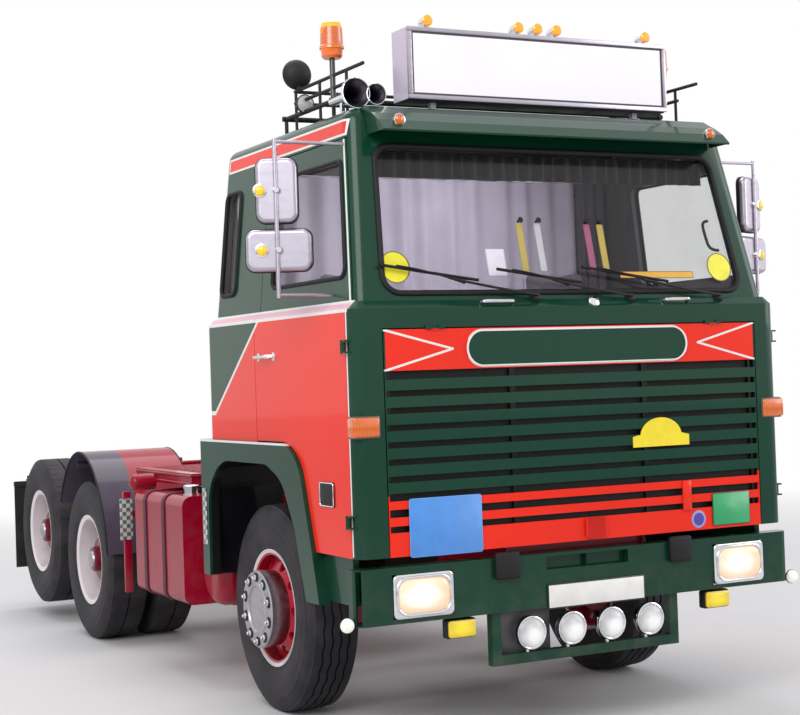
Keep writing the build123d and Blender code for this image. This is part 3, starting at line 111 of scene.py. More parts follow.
forward = Vector((
    math.sin(CAMERA_YAW) * math.cos(CAMERA_PITCH),
    math.cos(CAMERA_YAW) * math.cos(CAMERA_PITCH),
    math.sin(CAMERA_PITCH),
))
level_right = Vector((math.cos(CAMERA_YAW), -math.sin(CAMERA_YAW), 0))
level_up = level_right.cross(forward)
camera_right = level_right * math.cos(CAMERA_ROLL) + level_up * math.sin(CAMERA_ROLL)
camera_up = level_up * math.cos(CAMERA_ROLL) - level_right * math.sin(CAMERA_ROLL)
camera = bpy.data.objects.new("camera", bpy.data.cameras.new("camera"))
bpy.context.scene.collection.objects.link(camera)
turned_so = Matrix((camera_right, camera_up, -forward)).transposed().to_4x4()
camera.matrix_world = Matrix.Translation(CAMERA_PLACE) @ turned_so
camera.data.sensor_width = SENSOR
camera.data.lens = FOCAL_PIXELS * SENSOR / PHOTO_WIDTH
camera.data.shift_x = -SHIFT_PIXELS[0] / PHOTO_WIDTH
camera.data.shift_y = SHIFT_PIXELS[1] / PHOTO_WIDTH
camera.data.clip_end = 200
bpy.context.scene.camera = camera
print("lens", round(camera.data.lens, 1), "mm")

# %% [markdown]
# ## Shader maths
# A finish is mostly sums: a mask for a stripe, a mask for dust, and a blend between two colours.
# Wire wraps a socket, so that Python's own operators add the Math nodes, and Finish holds one material.

# %% Shader maths
INPUT_NAMES = {
    "colour": "Base Color",
    "rough": "Roughness",
    "metal": "Metallic",
    "coat": "Coat Weight",
    "coat_rough": "Coat Roughness",
    "alpha": "Alpha",
    "ior": "IOR",
    "glow": "Emission Color",
    "glow_strength": "Emission Strength",
    "sheen": "Sheen Weight",
    "specular": "Specular IOR Level",
}
BLACK = (0, 0, 0, 1)


def ink(red, green, blue):
    """A screen colour, 0 to 255, as the linear colour that shaders take."""
    channels = []
    for value in (red, green, blue):
        share = value / 255
        channels.append(share / 12.92 if share <= 0.04045 else ((share + 0.055) / 1.055) ** 2.4)
    return (*channels, 1.0)


def shade(colour, factor, lift=0.0):
    """A colour made darker or paler."""
    return tuple(min(1.0, channel * factor + lift) for channel in colour[:3]) + (1.0,)


class Wire:
    """A shader socket that Python's operators work on."""

    def __init__(self, finish, socket):
        self.finish = finish
        self.socket = socket

    def maths(self, operation, *others):
        return self.finish.wire("ShaderNodeMath", {"operation": operation}, (self, *others))

    def __add__(self, other):
        return self.maths("ADD", other)

    __radd__ = __add__

    def __mul__(self, other):
        return self.maths("MULTIPLY", other)

    __rmul__ = __mul__
    __and__ = __mul__

    def __sub__(self, other):
        return self.maths("SUBTRACT", other)

    def __rsub__(self, other):
        return self.finish.wire("ShaderNodeMath", {"operation": "SUBTRACT"}, (other, self))

    def __truediv__(self, other):
        return self.maths("DIVIDE", other)

    def __abs__(self):
        return self.maths("ABSOLUTE")

    def __lt__(self, other):
        return self.maths("LESS_THAN", other)

    def __gt__(self, other):
        return self.maths("GREATER_THAN", other)

    def __or__(self, other):
        return self.maths("MAXIMUM", other)

    most = __or__

    def least(self, other):
        return self.maths("MINIMUM", other)

    def within(self, low, high):
        return (self > low) & (self < high)

    def near(self, centre, half):
        return abs(self - centre) < half

    def rise(self, low, high):
        """0 below low, 1 above high, and an even slope between."""
        values = {"Value": self, "From Min": low, "From Max": high}
        return self.finish.wire("ShaderNodeMapRange", {"clamp": True}, values)


def length(first, second):
    """Length of a flat offset given as two wires."""
    return (first * first + second * second).maths("POWER", 0.5)


class Finish:
    """One material: the Principled shader and the nodes that feed it."""

    def __init__(self, name, **constants):
        self.material = bpy.data.materials.new(name)
        self.material.use_nodes = True
        self.nodes = self.material.node_tree.nodes
        self.links = self.material.node_tree.links
        self.shader = self.nodes["Principled BSDF"]
        self.place = self.wire("ShaderNodeTexCoord", output="Object")
        split = self.node("ShaderNodeSeparateXYZ", {}, (self.place,))
        self.x, self.y, self.z = (Wire(self, socket) for socket in split.outputs)
        self.station = self.y - FACE
        self.set(**constants)

    def node(self, kind, settings, values):
        made = self.nodes.new(kind)
        for key, value in settings.items():
            setattr(made, key, value)
        for key, value in values.items() if isinstance(values, dict) else enumerate(values):
            self.feed(made.inputs[key], value)
        return made

    def feed(self, socket, value):
        if isinstance(value, Wire):
            self.links.new(value.socket, socket)
        else:
            socket.default_value = value

    def wire(self, kind, settings=None, values=(), output=0):
        return Wire(self, self.node(kind, settings or {}, values).outputs[output])

    def set(self, **inputs):
        for key, value in inputs.items():
            self.feed(self.shader.inputs[INPUT_NAMES[key]], value)
        return self

    def mix(self, first, second, factor):
        return self.wire("ShaderNodeMix", {"data_type": "RGBA"}, {0: factor, 6: first, 7: second}, 2)

    def over(self, paint, *layers):
        """Lays each layer's colour over the paint where its mask is 1."""
        for mask, colour in layers:
            paint = self.mix(paint, colour, mask)
        return paint

    def mapped(self, kind, stretch, **values):
        place = self.wire("ShaderNodeMapping", {}, {"Vector": self.place, "Scale": stretch})
        return self.wire(kind, {}, {"Vector": place, **values})

    def noise(self, scale, detail=3.0, stretch=(1, 1, 1)):
        return self.mapped("ShaderNodeTexNoise", stretch, Scale=scale, Detail=detail, Roughness=0.55)

    def cells(self, scale):
        return self.mapped("ShaderNodeTexVoronoi", (1, 1, 1), Scale=scale)

    def waves(self, scale, direction="X"):
        settings = {"bands_direction": direction, "wave_profile": "SIN"}
        return self.wire("ShaderNodeTexWave", settings, {"Vector": self.place, "Scale": scale}, 1)

    def bump(self, height, distance, strength=1.0):
        values = {"Height": height, "Distance": distance, "Strength": strength}
        relief = self.wire("ShaderNodeBump", {}, values)
        self.links.new(relief.socket, self.shader.inputs["Normal"])
        return self


# %% [markdown]
# ## Paint
# A show truck is sprayed in gloss enamel: a coloured coat with a clear coat over it, very slightly dimpled.
# The stripes are masks on the object's own coordinates, because a stripe on the real cab runs on across doors
# and pillars, and a mask does that without cutting any panel.

# %% Paint
GREEN, DEEP_GREEN = ink(10, 60, 42), ink(6, 40, 28)
ORANGE_RED = ink(244, 44, 22)
STRIPE_WHITE = ink(238, 236, 232)
# Pale pink for the belt ledge: a painted reflection of the sky on the ledge's upward-facing orange-red.
BELT_SKY_REFLECTION_PINK = ink(238, 176, 196)
LINING_GREY = ink(104, 94, 100)
CHASSIS_RED = ink(158, 8, 42)
ROAD_DUST = ink(122, 110, 98)
LINING_DEPTH = 0.016
CEILING_DEPTH = 0.075
SWEEP_TOP, SWEEP_START, SWEEP_SLOPE, SWEEP_FOOT = 2.035, 1.159, 0.7229, 1.568
ROOF_EDGING, ROOF_STRIPE = ((0.27, 1.80), (2.882, 2.962)), ((0.283, 1.787), (2.893, 2.951))
BAND_LOW, BAND_MIDDLE, BAND_HIGH = 1.7615, 1.857, 1.9525
PILL_HALF, PILL_R = 0.545, 0.080
CHEVRON_TIP, CHEVRON_SLOPE = 0.705, 0.262
LOWER_LOUVRES = 1.19


def enamel(name, colour_of, dust_to=0.9):
    """Gloss paint. colour_of takes the finish and returns its colour wire or value."""
    finish = Finish(name, coat=0.35, coat_rough=0.04, ior=1.5, specular=0.15)
    tone = finish.noise(1.3, 2.0).rise(0.25, 0.8)
    grime = finish.noise(9.0, 5.0).rise(0.45, 0.85) * (1 - finish.z.rise(0.3, dust_to)) * 0.35
    paint = colour_of(finish)
    deeper = finish.wire("ShaderNodeHueSaturation", {}, {"Value": 0.86, "Color": paint})
    paint = finish.mix(deeper, paint, tone)
    finish.set(colour=finish.mix(paint, ROAD_DUST, grime), rough=0.26 + grime * 0.9 + tone * 0.06)
    peel = finish.noise(160.0, 2.0) * 0.6 + finish.noise(35.0, 1.0) * 0.4
    return finish.bump(peel, 0.00035, 0.35).material


def patched(first, second, scale, share):
    """One colour with soft patches of another."""
    return lambda finish: finish.mix(first, second, finish.noise(scale).rise(0.5, 0.9) * share)


def cab_colours(finish):
    """Green over orange-red, parted by white lines, on the sides of the cab, and a grey lining inside it. The
    orange-red belt ledge is painted pale pink, a painted reflection of the sky on its upward face.
    """
    x, s, z = abs(finish.x), finish.station, finish.z
    side, on_side, flank = x > CAB_HALF - 0.03, x > CAB_HALF - 0.05, x > 1.00
    sweep = (SWEEP_TOP - (s - SWEEP_START) * SWEEP_SLOPE).most(SWEEP_FOOT)
    orange = side & (z < sweep.least(BELT - 0.012)) & (s > 0.078)
    sweep_line = side & z.near(sweep, 0.011) & (z < BELT)
    front_line = side & s.near(0.074, 0.008) & z.within(0.92, BELT) & (x < CAB_HALF + 0.0015)
    beside_belt = (s > 0.060) & on_side
    belt_lines = (z.near(LEDGE_TOP, 0.007) | z.near(BELT - 0.004, 0.008)) & beside_belt
    edging, stripe = (flank & s.within(*along) & z.within(*up) for along, up in (ROOF_EDGING, ROOF_STRIPE))
    beside_screen = (s - z * SCREEN_SLOPE).near(screen_station(0) + 0.062, 0.007)
    pillar_line = beside_screen & flank & z.within(LEDGE_TOP, 2.87)
    above, below = (z - LEDGE_TOP).most(0), z < LEDGE_TOP
    half = (CAB_HALF - LEDGE_IN - above * SIDE_SLOPE) + below * LEDGE_IN
    screen = LEDGE_IN + above * SCREEN_SLOPE
    rear = above * -REAR_SLOPE + below * LEDGE_IN + (CAB_REAR - FACE - LEDGE_IN)
    walls = (x < half - LINING_DEPTH) & (s > screen + 0.036) & (s < rear - LINING_DEPTH) & (z < 2.96)
    ceiling = (x < half - CEILING_DEPTH) & (s > screen + 0.095) & (s < rear - CEILING_DEPTH) & (z < 2.998)
    ledge = (on_side | (s > CAB_REAR - FACE - 0.05)) & z.within(BELT - 0.02, LEDGE_TOP + 0.005)
    return finish.over(
        GREEN,
        (orange, ORANGE_RED),
        # Painted reflection: the belt ledge between its white lines goes pale pink.
        (z.within(BELT, LEDGE_TOP) & beside_belt, BELT_SKY_REFLECTION_PINK),
        (sweep_line | front_line | belt_lines | edging | pillar_line, STRIPE_WHITE),
        (stripe, ORANGE_RED),
        ((walls | ceiling) & (z > 1.45) & (1 - ledge), LINING_GREY),
    )


def hatch_colours(finish):
    """The upper band with its blank pill and chevrons, green louvres and orange-red ones below. Below the
    band every surface more than 12.5 mm behind the front is painted near-black, painted shade in the louvre
    gaps.
    """
    x, z = abs(finish.x), finish.z
    band = z.within(BAND_LOW, BAND_HIGH)
    height = z - BAND_MIDDLE
    from_pill = length((x - PILL_HALF).most(0), height)
    outline = from_pill.near(PILL_R + 0.0045, 0.0055)
    chevron = abs(height).near((x - CHEVRON_TIP) * CHEVRON_SLOPE, 0.0055) & (x > CHEVRON_TIP - 0.005)
    return finish.over(
        GREEN,
        ((band & (x < 1.056)) | (z < LOWER_LOUVRES), ORANGE_RED),
        (band & (from_pill < PILL_R), GREEN),
        (band & (outline | chevron), STRIPE_WHITE),
        # Painted shade: below the band, surfaces deeper than 12.5 mm behind the front go near-black.
        ((finish.station > 0.0125) & (z < 1.90), ink(4, 5, 5)),
    )


def arch_colours(finish):
    """Green, with the white line along the top of the wheel arch, and the lining and the faces of the opening
    painted near-black as painted shade inside the arch.
    """
    x, z, s = abs(finish.x), finish.z, finish.station
    # Painted shade: the lining and the faces of the arch opening go near-black.
    shaded_liner = (x < 1.1755) & (s > 0.53)
    edge = (x < 1.222) & (s < 1.93) & (z < 1.32) & (s - 0.495 > (z - 0.634) * 0.377)
    top_line = z.near(1.418, 0.006) & (x > 1.17)
    return finish.over(GREEN, (top_line, STRIPE_WHITE), (shaded_liner | edge, ink(20, 19, 22)))


def guard_colours(finish):
    """Red guards with bare dark rubber over the outer tyre."""
    return finish.mix(CHASSIS_RED, ink(82, 73, 88), abs(finish.x) > 1.0)


CAB_PAINT = enamel("cab_paint", cab_colours)
HATCH_PAINT = enamel("hatch_paint", hatch_colours)
ARCH_PAINT = enamel("arch_paint", arch_colours)
GREEN_PAINT = enamel("green_paint", patched(GREEN, DEEP_GREEN, 0.9, 0.4))
RED_PAINT = enamel("red_paint", patched(CHASSIS_RED, ink(120, 8, 30), 2.2, 0.5), 1.3)
GUARD_PAINT = enamel("guard_paint", guard_colours, 1.2)
print("paints done")

# %% [markdown]
# ## Rubber, metal and glass
# Rubber is never plain black: it is grey where it is dusty.
# Bright metal here is chrome on lamps and mirrors, and dull cast or forged iron under the frame.

# %% Rubber, metal and glass
def worn_rubber(name, colour, dusty, strength=0.5):
    finish = Finish(name, specular=0.35)
    dust = finish.noise(7.0, 5.0).rise(0.4, 0.75) * strength
    finish.set(colour=finish.mix(colour, dusty, dust), rough=0.62 + dust * 0.25)
    return finish.bump(finish.noise(220.0, 2.0), 0.0006, 0.4).material


def bright_metal(name, colour, rough, streak=0.08):
    finish = Finish(name, metal=1.0)
    tarnish = finish.noise(14.0, 4.0, (1, 1, 3)).rise(0.45, 0.8)
    tone = finish.mix(colour, shade(colour, 0.72), tarnish * 0.6)
    finish.set(colour=tone, rough=rough + tarnish * streak)
    return finish.bump(finish.noise(60.0, 2.0), 0.0003, 0.25).material


def dull_iron(name, colour, rust, share=0.35):
    finish = Finish(name, specular=0.4)
    patch = finish.noise(11.0, 6.0).rise(0.5, 0.75) * share
    finish.set(colour=finish.mix(colour, rust, patch), rough=0.5 + patch * 0.5, metal=0.55 - patch)
    return finish.bump(finish.noise(90.0, 4.0), 0.0012, 0.5).material


def clear_glass(name, tint, alpha):
    """Glass as a glossy sheet that is mostly see-through, which the export keeps."""
    finish = Finish(name, rough=0.02, ior=1.5, specular=0.9, coat=1.0)
    haze = finish.noise(3.0, 4.0).rise(0.55, 0.9) * 0.06
    finish.set(colour=tint, alpha=haze + alpha)
    finish.material.surface_render_method = "BLENDED"
    return finish.material


def soft_plastic(name, colour, rough=0.55):
    finish = Finish(name, specular=0.4)
    cloudy = finish.noise(5.0, 3.0)
    paler = shade(colour, 1.5, 0.01)
    finish.set(colour=finish.mix(colour, paler, cloudy.rise(0.4, 0.9) * 0.5), rough=rough + cloudy * 0.12)
    return finish.bump(finish.cells(420.0), 0.0004, 0.3).material


def lamp_glass(name, colour, glow):
    finish = Finish(name, rough=0.08, coat=1.0, ior=1.5)
    flutes = finish.waves(38.0)
    # Painted shade: the lens colour is darker in each flute trough than on the ridges.
    tone = finish.mix(shade(colour, 0.6), colour, flutes.rise(0.0, 0.8))
    finish.set(colour=tone, glow=colour, glow_strength=glow)
    return finish.bump(flutes, 0.0015, 0.6).material


TYRE_RUBBER = worn_rubber("tyre_rubber", ink(30, 28, 32), ink(80, 74, 78))
FLAP_RUBBER = worn_rubber("flap_rubber", ink(24, 24, 26), ink(74, 70, 70), 0.35)
SEAL_RUBBER = worn_rubber("seal_rubber", ink(14, 14, 15), ink(40, 40, 42), 0.2)
CHROME = bright_metal("chrome", ink(228, 228, 232), 0.06)
HUB_METAL = bright_metal("hub_metal", ink(176, 172, 176), 0.28, 0.2)
MIRROR_SHELL = bright_metal("mirror_shell", ink(184, 178, 190), 0.36, 0.1)
STRAP_STEEL = dull_iron("strap_steel", ink(84, 34, 50), ink(58, 34, 34), 0.25)
GREY_STEEL = dull_iron("grey_steel", ink(96, 94, 96), ink(92, 62, 44), 0.25)
IRON = dull_iron("iron", ink(40, 38, 38), ink(86, 56, 40), 0.4)
SPRING_STEEL = dull_iron("spring_steel", ink(30, 28, 28), ink(70, 46, 34))
GREASED_IRON = dull_iron("greased_iron", ink(22, 20, 18), ink(70, 52, 40), 0.3)
WINDOW_GLASS = clear_glass("window_glass", ink(36, 46, 46), 0.13)
BLACK_PLASTIC = soft_plastic("black_plastic", ink(18, 18, 19))
CAB_TRIM = soft_plastic("cab_trim", ink(44, 40, 38))
CAB_LINING = soft_plastic("cab_lining", ink(120, 108, 92), 0.75)
AMBER = lamp_glass("amber_glass", ink(226, 104, 6), 0.10)
YELLOW_LENS = lamp_glass("yellow_lens", ink(255, 206, 8), 0.25)
RED_LENS = lamp_glass("red_lens", ink(190, 16, 18), 0.1)
LENS_MILK = lamp_glass("milk_glass", ink(244, 240, 228), 0.35)
SIGN_LOW, SIGN_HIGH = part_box("roof_sign")
SIGN_FRONT = SIGN_LOW.y - FACE
SIGN_BOTTOM = 3.085


def roof_lamp_finish():
    """Beacons with an orange foot on a black pole, and chrome bullets with amber fronts."""
    finish = Finish("roof_lamp_finish", coat=1.0, coat_rough=0.04)
    z, beacon = finish.z, abs(finish.x) > 0.90
    pole, foot = beacon & (z < 3.3175), beacon & z.within(3.3175, 3.362)
    bright = (1 - beacon) & (1 - (finish.station < SIGN_FRONT + 0.034))
    paint = finish.over(
        ink(250, 168, 14),
        (beacon, ink(240, 122, 6)),
        (beacon & (z > 3.372) & (finish.noise(18.0, 1.0) > 0.45), ink(206, 92, 14)),
        (beacon & (z > 3.470), ink(250, 178, 22)),
        (foot, ink(236, 108, 16)),
        (pole, ink(18, 18, 20)),
        (bright, ink(222, 222, 228)),
    )
    glow = finish.mix(paint, BLACK, pole | bright | foot)
    finish.set(colour=paint, rough=0.12 + pole * 0.4, metal=bright, glow=glow, glow_strength=0.12)
    return finish.bump(finish.waves(36.0), 0.0006, 0.5).material


def sign_finish():
    """The roof sign: a pale front, grey-lilac sides and a dark line inside its frame."""
    finish = Finish("sign_finish", coat=0.6, coat_rough=0.1)
    front = finish.station < SIGN_FRONT + 0.004
    line = None
    for along, low, high in ((finish.x, SIGN_LOW.x, SIGN_HIGH.x), (finish.z, SIGN_BOTTOM, SIGN_HIGH.z)):
        edge = abs(along - (low + high) / 2) > (high - low) / 2 - 0.030
        line = edge if line is None else line | edge
    field = finish.mix(ink(250, 246, 251), ink(240, 233, 243), finish.noise(1.6, 3.0).rise(0.3, 0.8))
    face = finish.mix(field, ink(52, 44, 52), line)
    finish.set(colour=finish.mix(ink(196, 184, 204), face, front), rough=0.28,
               glow=finish.mix(BLACK, field, front & (1 - line)), glow_strength=0.05)
    return finish.bump(finish.noise(50.0, 2.0), 0.0002, 0.3).material


ROOF_LAMPS = roof_lamp_finish()
SIGN_FACE = sign_finish()
print(len(bpy.data.materials), "materials so far")

# %% [markdown]
# ## Wheel paint
# The rear wheels are white and their hubs red, and their discs are red darkened with painted shade for their
# deep dish. The front discs are red with a bright lip.
# One mask by distance from the axle does it, because a painter masks a turning wheel the same way.

# %% Wheel paint
RIM_WHITE, LIP_GREY = ink(240, 230, 232), ink(226, 214, 218)
# The darker red of the rear discs is the wheel red with painted shade for their deep dish.
WHEEL_RED, SHADED_DISC_RED = ink(176, 14, 44), ink(112, 14, 36)
HUB_R = 0.12


def wheel_paint(name, wheel, disc, barrel, disc_r):
    """A red hub, a disc out to disc_r, and a barrel beyond it."""
    def colours(finish):
        out = length(finish.y - WHEELS[wheel].y, finish.z - WHEELS[wheel].z)
        return finish.over(disc, (out > disc_r, barrel), (out < HUB_R, WHEEL_RED))

    return enamel(name, colours, 0.8)


# Rear hub caps: that shaded red, with random patches of the plain wheel red.
HUB_RED = enamel("hub_red", patched(SHADED_DISC_RED, WHEEL_RED, 4.0, 0.4), 0.8)
FRONT_RIM = wheel_paint("front_rim", "front_left", WHEEL_RED, LIP_GREY, 0.288)
DRIVE_RIM = wheel_paint("drive_rim", "drive_left", SHADED_DISC_RED, RIM_WHITE, 0.268)
TAG_RIM = wheel_paint("tag_rim", "tag_left", SHADED_DISC_RED, RIM_WHITE, 0.268)
print("wheel paint done")

# %% [markdown]
# ## Finishes on the CAD nodes
# A CAD node whose shape is right stays as it is and only gets its finish.

# %% Finishes on the CAD nodes
NODE_FINISHES = {
    CAB_PAINT: ("cab_front", "cab_sides", "rear_wall", "roof", "door_left", "door_right"),
    HATCH_PAINT: ("front_hatch",),
    ARCH_PAINT: ("wheel_arches",),
    GREEN_PAINT: ("front_bumper", "sun_visor"),
    RED_PAINT: (
        "frame_rails", "fuel_tank", "battery_box", "air_tanks", "catwalk", "front_axle", "rear_axles",
    ),
    GUARD_PAINT: ("rear_mudguards",),
    FLAP_RUBBER: ("mud_flaps",),
    IRON: ("engine", "knuckle_left", "knuckle_right", "tie_rod", "radiator"),
    SPRING_STEEL: ("leaf_springs",),
    GREASED_IRON: ("fifth_wheel",),
    WINDOW_GLASS: ("cab_glass", "door_glass_left", "door_glass_right"),
    CAB_LINING: ("cab_floor",),
    BLACK_PLASTIC: ("roof_rack", "steering_wheel"),
    SIGN_FACE: ("roof_sign",),
    FRONT_RIM: ("rim_front_left", "rim_front_right"),
    DRIVE_RIM: ("rim_drive_left", "rim_drive_right"),
    TAG_RIM: ("rim_tag_left", "rim_tag_right"),
    TYRE_RUBBER: tuple(f"tyre_{wheel}" for wheel in WHEELS),
    CHROME: ("air_horns", "spot_lamps", "headlamps"),
    MIRROR_SHELL: ("mirrors_left", "mirrors_right"),
    ROOF_LAMPS: ("roof_lamps",),
    CAB_TRIM: ("dashboard", "seats", "bunk"),
}
for finish, names in NODE_FINISHES.items():
    for name in names:
        mesh = nodes[name].data
        mesh.materials.clear()
        mesh.materials.append(finish)
print("finishes on", sum(len(names) for names in NODE_FINISHES.values()), "nodes")

# %% [markdown]
# ## Shapes
# Most fittings on a truck are turned, bent or pressed. Shape collects such forms in one mesh:
# a profile turned about an axis, a block with rounded edges, a bent tube, and a stack of rounded outlines.

# %% Shapes
def rounded_ring(centre, across, up, half_across, half_up, corner, steps=4):
    """Points round a rectangle with round corners, in the plane of across and up."""
    points = []
    corner = min(corner, half_across * 0.999, half_up * 0.999)
    for quarter, (sign_a, sign_u) in enumerate(((1, 1), (-1, 1), (-1, -1), (1, -1))):
        for step in range(steps + 1):
            angle = math.radians(90 * (quarter + step / steps))
            a = sign_a * (half_across - corner) + corner * math.cos(angle)
            u = sign_u * (half_up - corner) + corner * math.sin(angle)
            points.append(centre + across * a + up * u)
    return points


class Shape:
    """A mesh in the making."""

    def __init__(self):
        self.mesh = bmesh.new()

    def skin(self, rings, caps=(True, True)):
        """Joins rings of equal length, each given as points, and closes the ends."""
        made = [[self.mesh.verts.new(point) for point in ring] for ring in rings]
        for near, far in zip(made, made[1:]):
            for k in range(max(len(near), len(far))):
                places = ((near, k), (near, k + 1), (far, k + 1), (far, k))
                corners = list(dict.fromkeys(ring[index % len(ring)] for ring, index in places))
                if len(corners) > 2:
                    self.mesh.faces.new(corners)
        for ring, cap in zip((made[0], made[-1]), caps):
            if cap and len(ring) > 2:
                self.mesh.faces.new(ring)
        return self

    def turned(self, profile, centre=Vector(), axis=UP, steps=40, shift=None):
        """A profile of (along, radius) points turned about an axis. shift(i, k) moves a point along it."""
        axis = Vector(axis).normalized()
        side = axis.orthogonal().normalized()
        up = axis.cross(side)
        rings = []
        for i, (along, radius) in enumerate(profile):
            if radius < 1e-6:
                rings.append([centre + axis * along])
                continue
            ring = []
            for k in range(steps):
                turn = 2 * math.pi * k / steps
                moved = along + (shift(i, k) if shift else 0)
                ring.append(centre + axis * moved + (side * math.cos(turn) + up * math.sin(turn)) * radius)
            rings.append(ring)
        return self.skin(rings, (False, False))

    def block(self, low, high, bevel=0.004, steps=2):
        """A block with rounded edges."""
        corners = bmesh.ops.create_cube(self.mesh, size=1.0)["verts"]
        for corner in corners:
            corner.co = Vector((low[i] if corner.co[i] < 0 else high[i] for i in range(3)))
        edges = list({edge for corner in corners for edge in corner.link_edges})
        bmesh.ops.bevel(self.mesh, geom=edges, offset=bevel, segments=steps, affect="EDGES", profile=0.5)
        return self

    def bar(self, low, high, bevel=0.004, steps=2):
        """A block between two corners, each given as x, station and z."""
        return self.block(at(*low), at(*high), bevel, steps)

    def pair(self, low, high, bevel=0.004, steps=2):
        """A bar on the left and its mirror image on the right."""
        for side in (-1, 1):
            first, last = sorted((side * low[0], side * high[0]))
            self.bar((first, *low[1:]), (last, *high[1:]), bevel, steps)
        return self

    def tube(self, points, radius, closed=False, smooth=True, sides=3):
        """A round bar that follows a smooth curve near its points."""
        curve = bpy.data.curves.new("path", "CURVE")
        curve.dimensions = "3D"
        curve.bevel_depth = radius
        curve.bevel_resolution = sides
        curve.use_fill_caps = True
        spline = curve.splines.new("NURBS" if smooth else "POLY")
        spline.points.add(len(points) - 1)
        for point, place in zip(spline.points, points):
            point.co = (*place, 1)
        spline.order_u = 3
        spline.use_endpoint_u = not closed
        spline.use_cyclic_u = closed
        spline.resolution_u = 5
        holder = bpy.data.objects.new("path", curve)
        self.mesh.from_mesh(bpy.data.meshes.new_from_object(holder))
        bpy.data.objects.remove(holder)
        return self

    def stack(self, centre, sections, across=ACROSS, up=UP, caps=(True, True), steps=5):
        """Rounded outlines of (out, half across, half up, corner), stacked outwards and skinned."""
        out = across.cross(up)
        rings = [
            rounded_ring(centre + out * depth, across, up, half_a, half_u, corner, steps)
            for depth, half_a, half_u, corner in sections
        ]
        return self.skin(rings, caps)

    def slab(self, outline, along):
        """A flat outline of points, pushed along a vector."""
        return self.skin([outline, [point + Vector(along) for point in outline]])

    def add_mesh(self, mesh, matrix):
        """Adds another mesh at a place."""
        copy = mesh.copy()
        copy.transform(matrix)
        self.mesh.from_mesh(copy)
        bpy.data.meshes.remove(copy)
        return self

    def as_mesh(self, name):
        bmesh.ops.remove_doubles(self.mesh, verts=self.mesh.verts, dist=1e-5)
        bmesh.ops.recalc_face_normals(self.mesh, faces=self.mesh.faces)
        mesh = bpy.data.meshes.new(name)
        self.mesh.to_mesh(mesh)
        self.mesh.free()
        return mesh

    def piece(self, name, finish, body, slot, sharp=35):
        """Finishes the mesh as a piece that rides on a body."""
        return piece_of(self.as_mesh(name), name, finish, body, sharp)


def piece_of(mesh, name, finish, body, sharp=35):
    """Makes a mesh a piece of the truck."""
    mesh.materials.clear()
    mesh.materials.append(finish)
    mesh.shade_smooth()
    mesh.set_sharp_from_angle(angle=math.radians(sharp))
    made = bpy.data.objects.new(name, mesh)
    bpy.context.scene.collection.objects.link(made)
    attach(made, body)
    return made


# %% [markdown]
# ## Copies by Geometry Nodes
# Nuts, tread lugs, bolts and dials repeat by a rule, so a small node tree sets them out:
# one tree for copies on a circle and one for copies on a line. Its result is made a plain mesh.

# %% Copies by Geometry Nodes
def copies_tree(name, on_circle):
    """A tree that sets Count copies of its geometry on a circle of Radius, or on a line by Step."""
    tree = bpy.data.node_groups.new(name, "GeometryNodeTree")
    spread = ("Radius", "Float") if on_circle else ("Step", "Vector")
    for given_name, kind in (("Geometry", "Geometry"), ("Count", "Int"), spread, ("Finish", "Material")):
        tree.interface.new_socket(given_name, in_out="INPUT", socket_type=f"NodeSocket{kind}")
    tree.interface.new_socket("Geometry", in_out="OUTPUT", socket_type="NodeSocketGeometry")
    given = tree.nodes.new("NodeGroupInput")
    result = tree.nodes.new("NodeGroupOutput")
    points = tree.nodes.new("GeometryNodeMeshCircle" if on_circle else "GeometryNodeMeshLine")
    copies = tree.nodes.new("GeometryNodeInstanceOnPoints")
    realize = tree.nodes.new("GeometryNodeRealizeInstances")
    paint = tree.nodes.new("GeometryNodeSetMaterial")
    links = [
        (given, "Count", points, "Vertices" if on_circle else "Count"),
        (given, spread[0], points, "Radius" if on_circle else "Offset"),
        (points, "Mesh", copies, "Points"),
        (given, "Geometry", copies, "Instance"),
        (copies, "Instances", realize, "Geometry"),
        (realize, "Geometry", paint, "Geometry"),
        (given, "Finish", paint, "Material"),
        (paint, "Geometry", result, "Geometry"),
    ]
    if on_circle:
        where = tree.nodes.new("GeometryNodeInputPosition")
        turn = tree.nodes.new("FunctionNodeAlignEulerToVector")
        turn.axis = "X"
        turn.pivot_axis = "Z"
        links += [(where, "Position", turn, "Vector"), (turn, "Rotation", copies, "Rotation")]
    for source, output, target, socket in links:
        tree.links.new(source.outputs[output], target.inputs[socket])
    return tree


def working(mesh):
    """A working object that carries a mesh for a moment."""
    holder = bpy.data.objects.new("working", mesh)
    bpy.context.scene.collection.objects.link(holder)
    return holder


def evaluated(holder):
    """The mesh with its modifiers applied. The working object goes."""
    bpy.context.view_layer.update()
    mesh = bpy.data.meshes.new_from_object(holder.evaluated_get(bpy.context.evaluated_depsgraph_get()))
    bpy.data.objects.remove(holder)
    return mesh


def copied(tree, unit, finish, **values):
    """The unit mesh set out by a tree, as one plain mesh."""
    holder = working(unit)
    modifier = holder.modifiers.new("copies", "NODES")
    modifier.node_group = tree
    values["Finish"] = finish
    for item in tree.interface.items_tree:
        if item.in_out == "INPUT" and item.name in values:
            modifier[item.identifier] = values[item.name]
    return evaluated(holder)


def facing(side):
    """Turns a shape whose axis is Z, so that it faces out along X on one side of the truck."""
    return Matrix.Rotation(math.radians(90 * side), 4, "Y")


CIRCLE_TREE = copies_tree("copies_on_a_circle", True)
LINE_TREE = copies_tree("copies_on_a_line", False)
print("two trees made")

# %% [markdown]
# ## Tyres
# A lorry tyre is a turned form: a bead, a bulging wall with a few rings, and a tread.
# The steered tyres have ribs parted by zigzag grooves, and the driven ones have lugs over their shoulders.

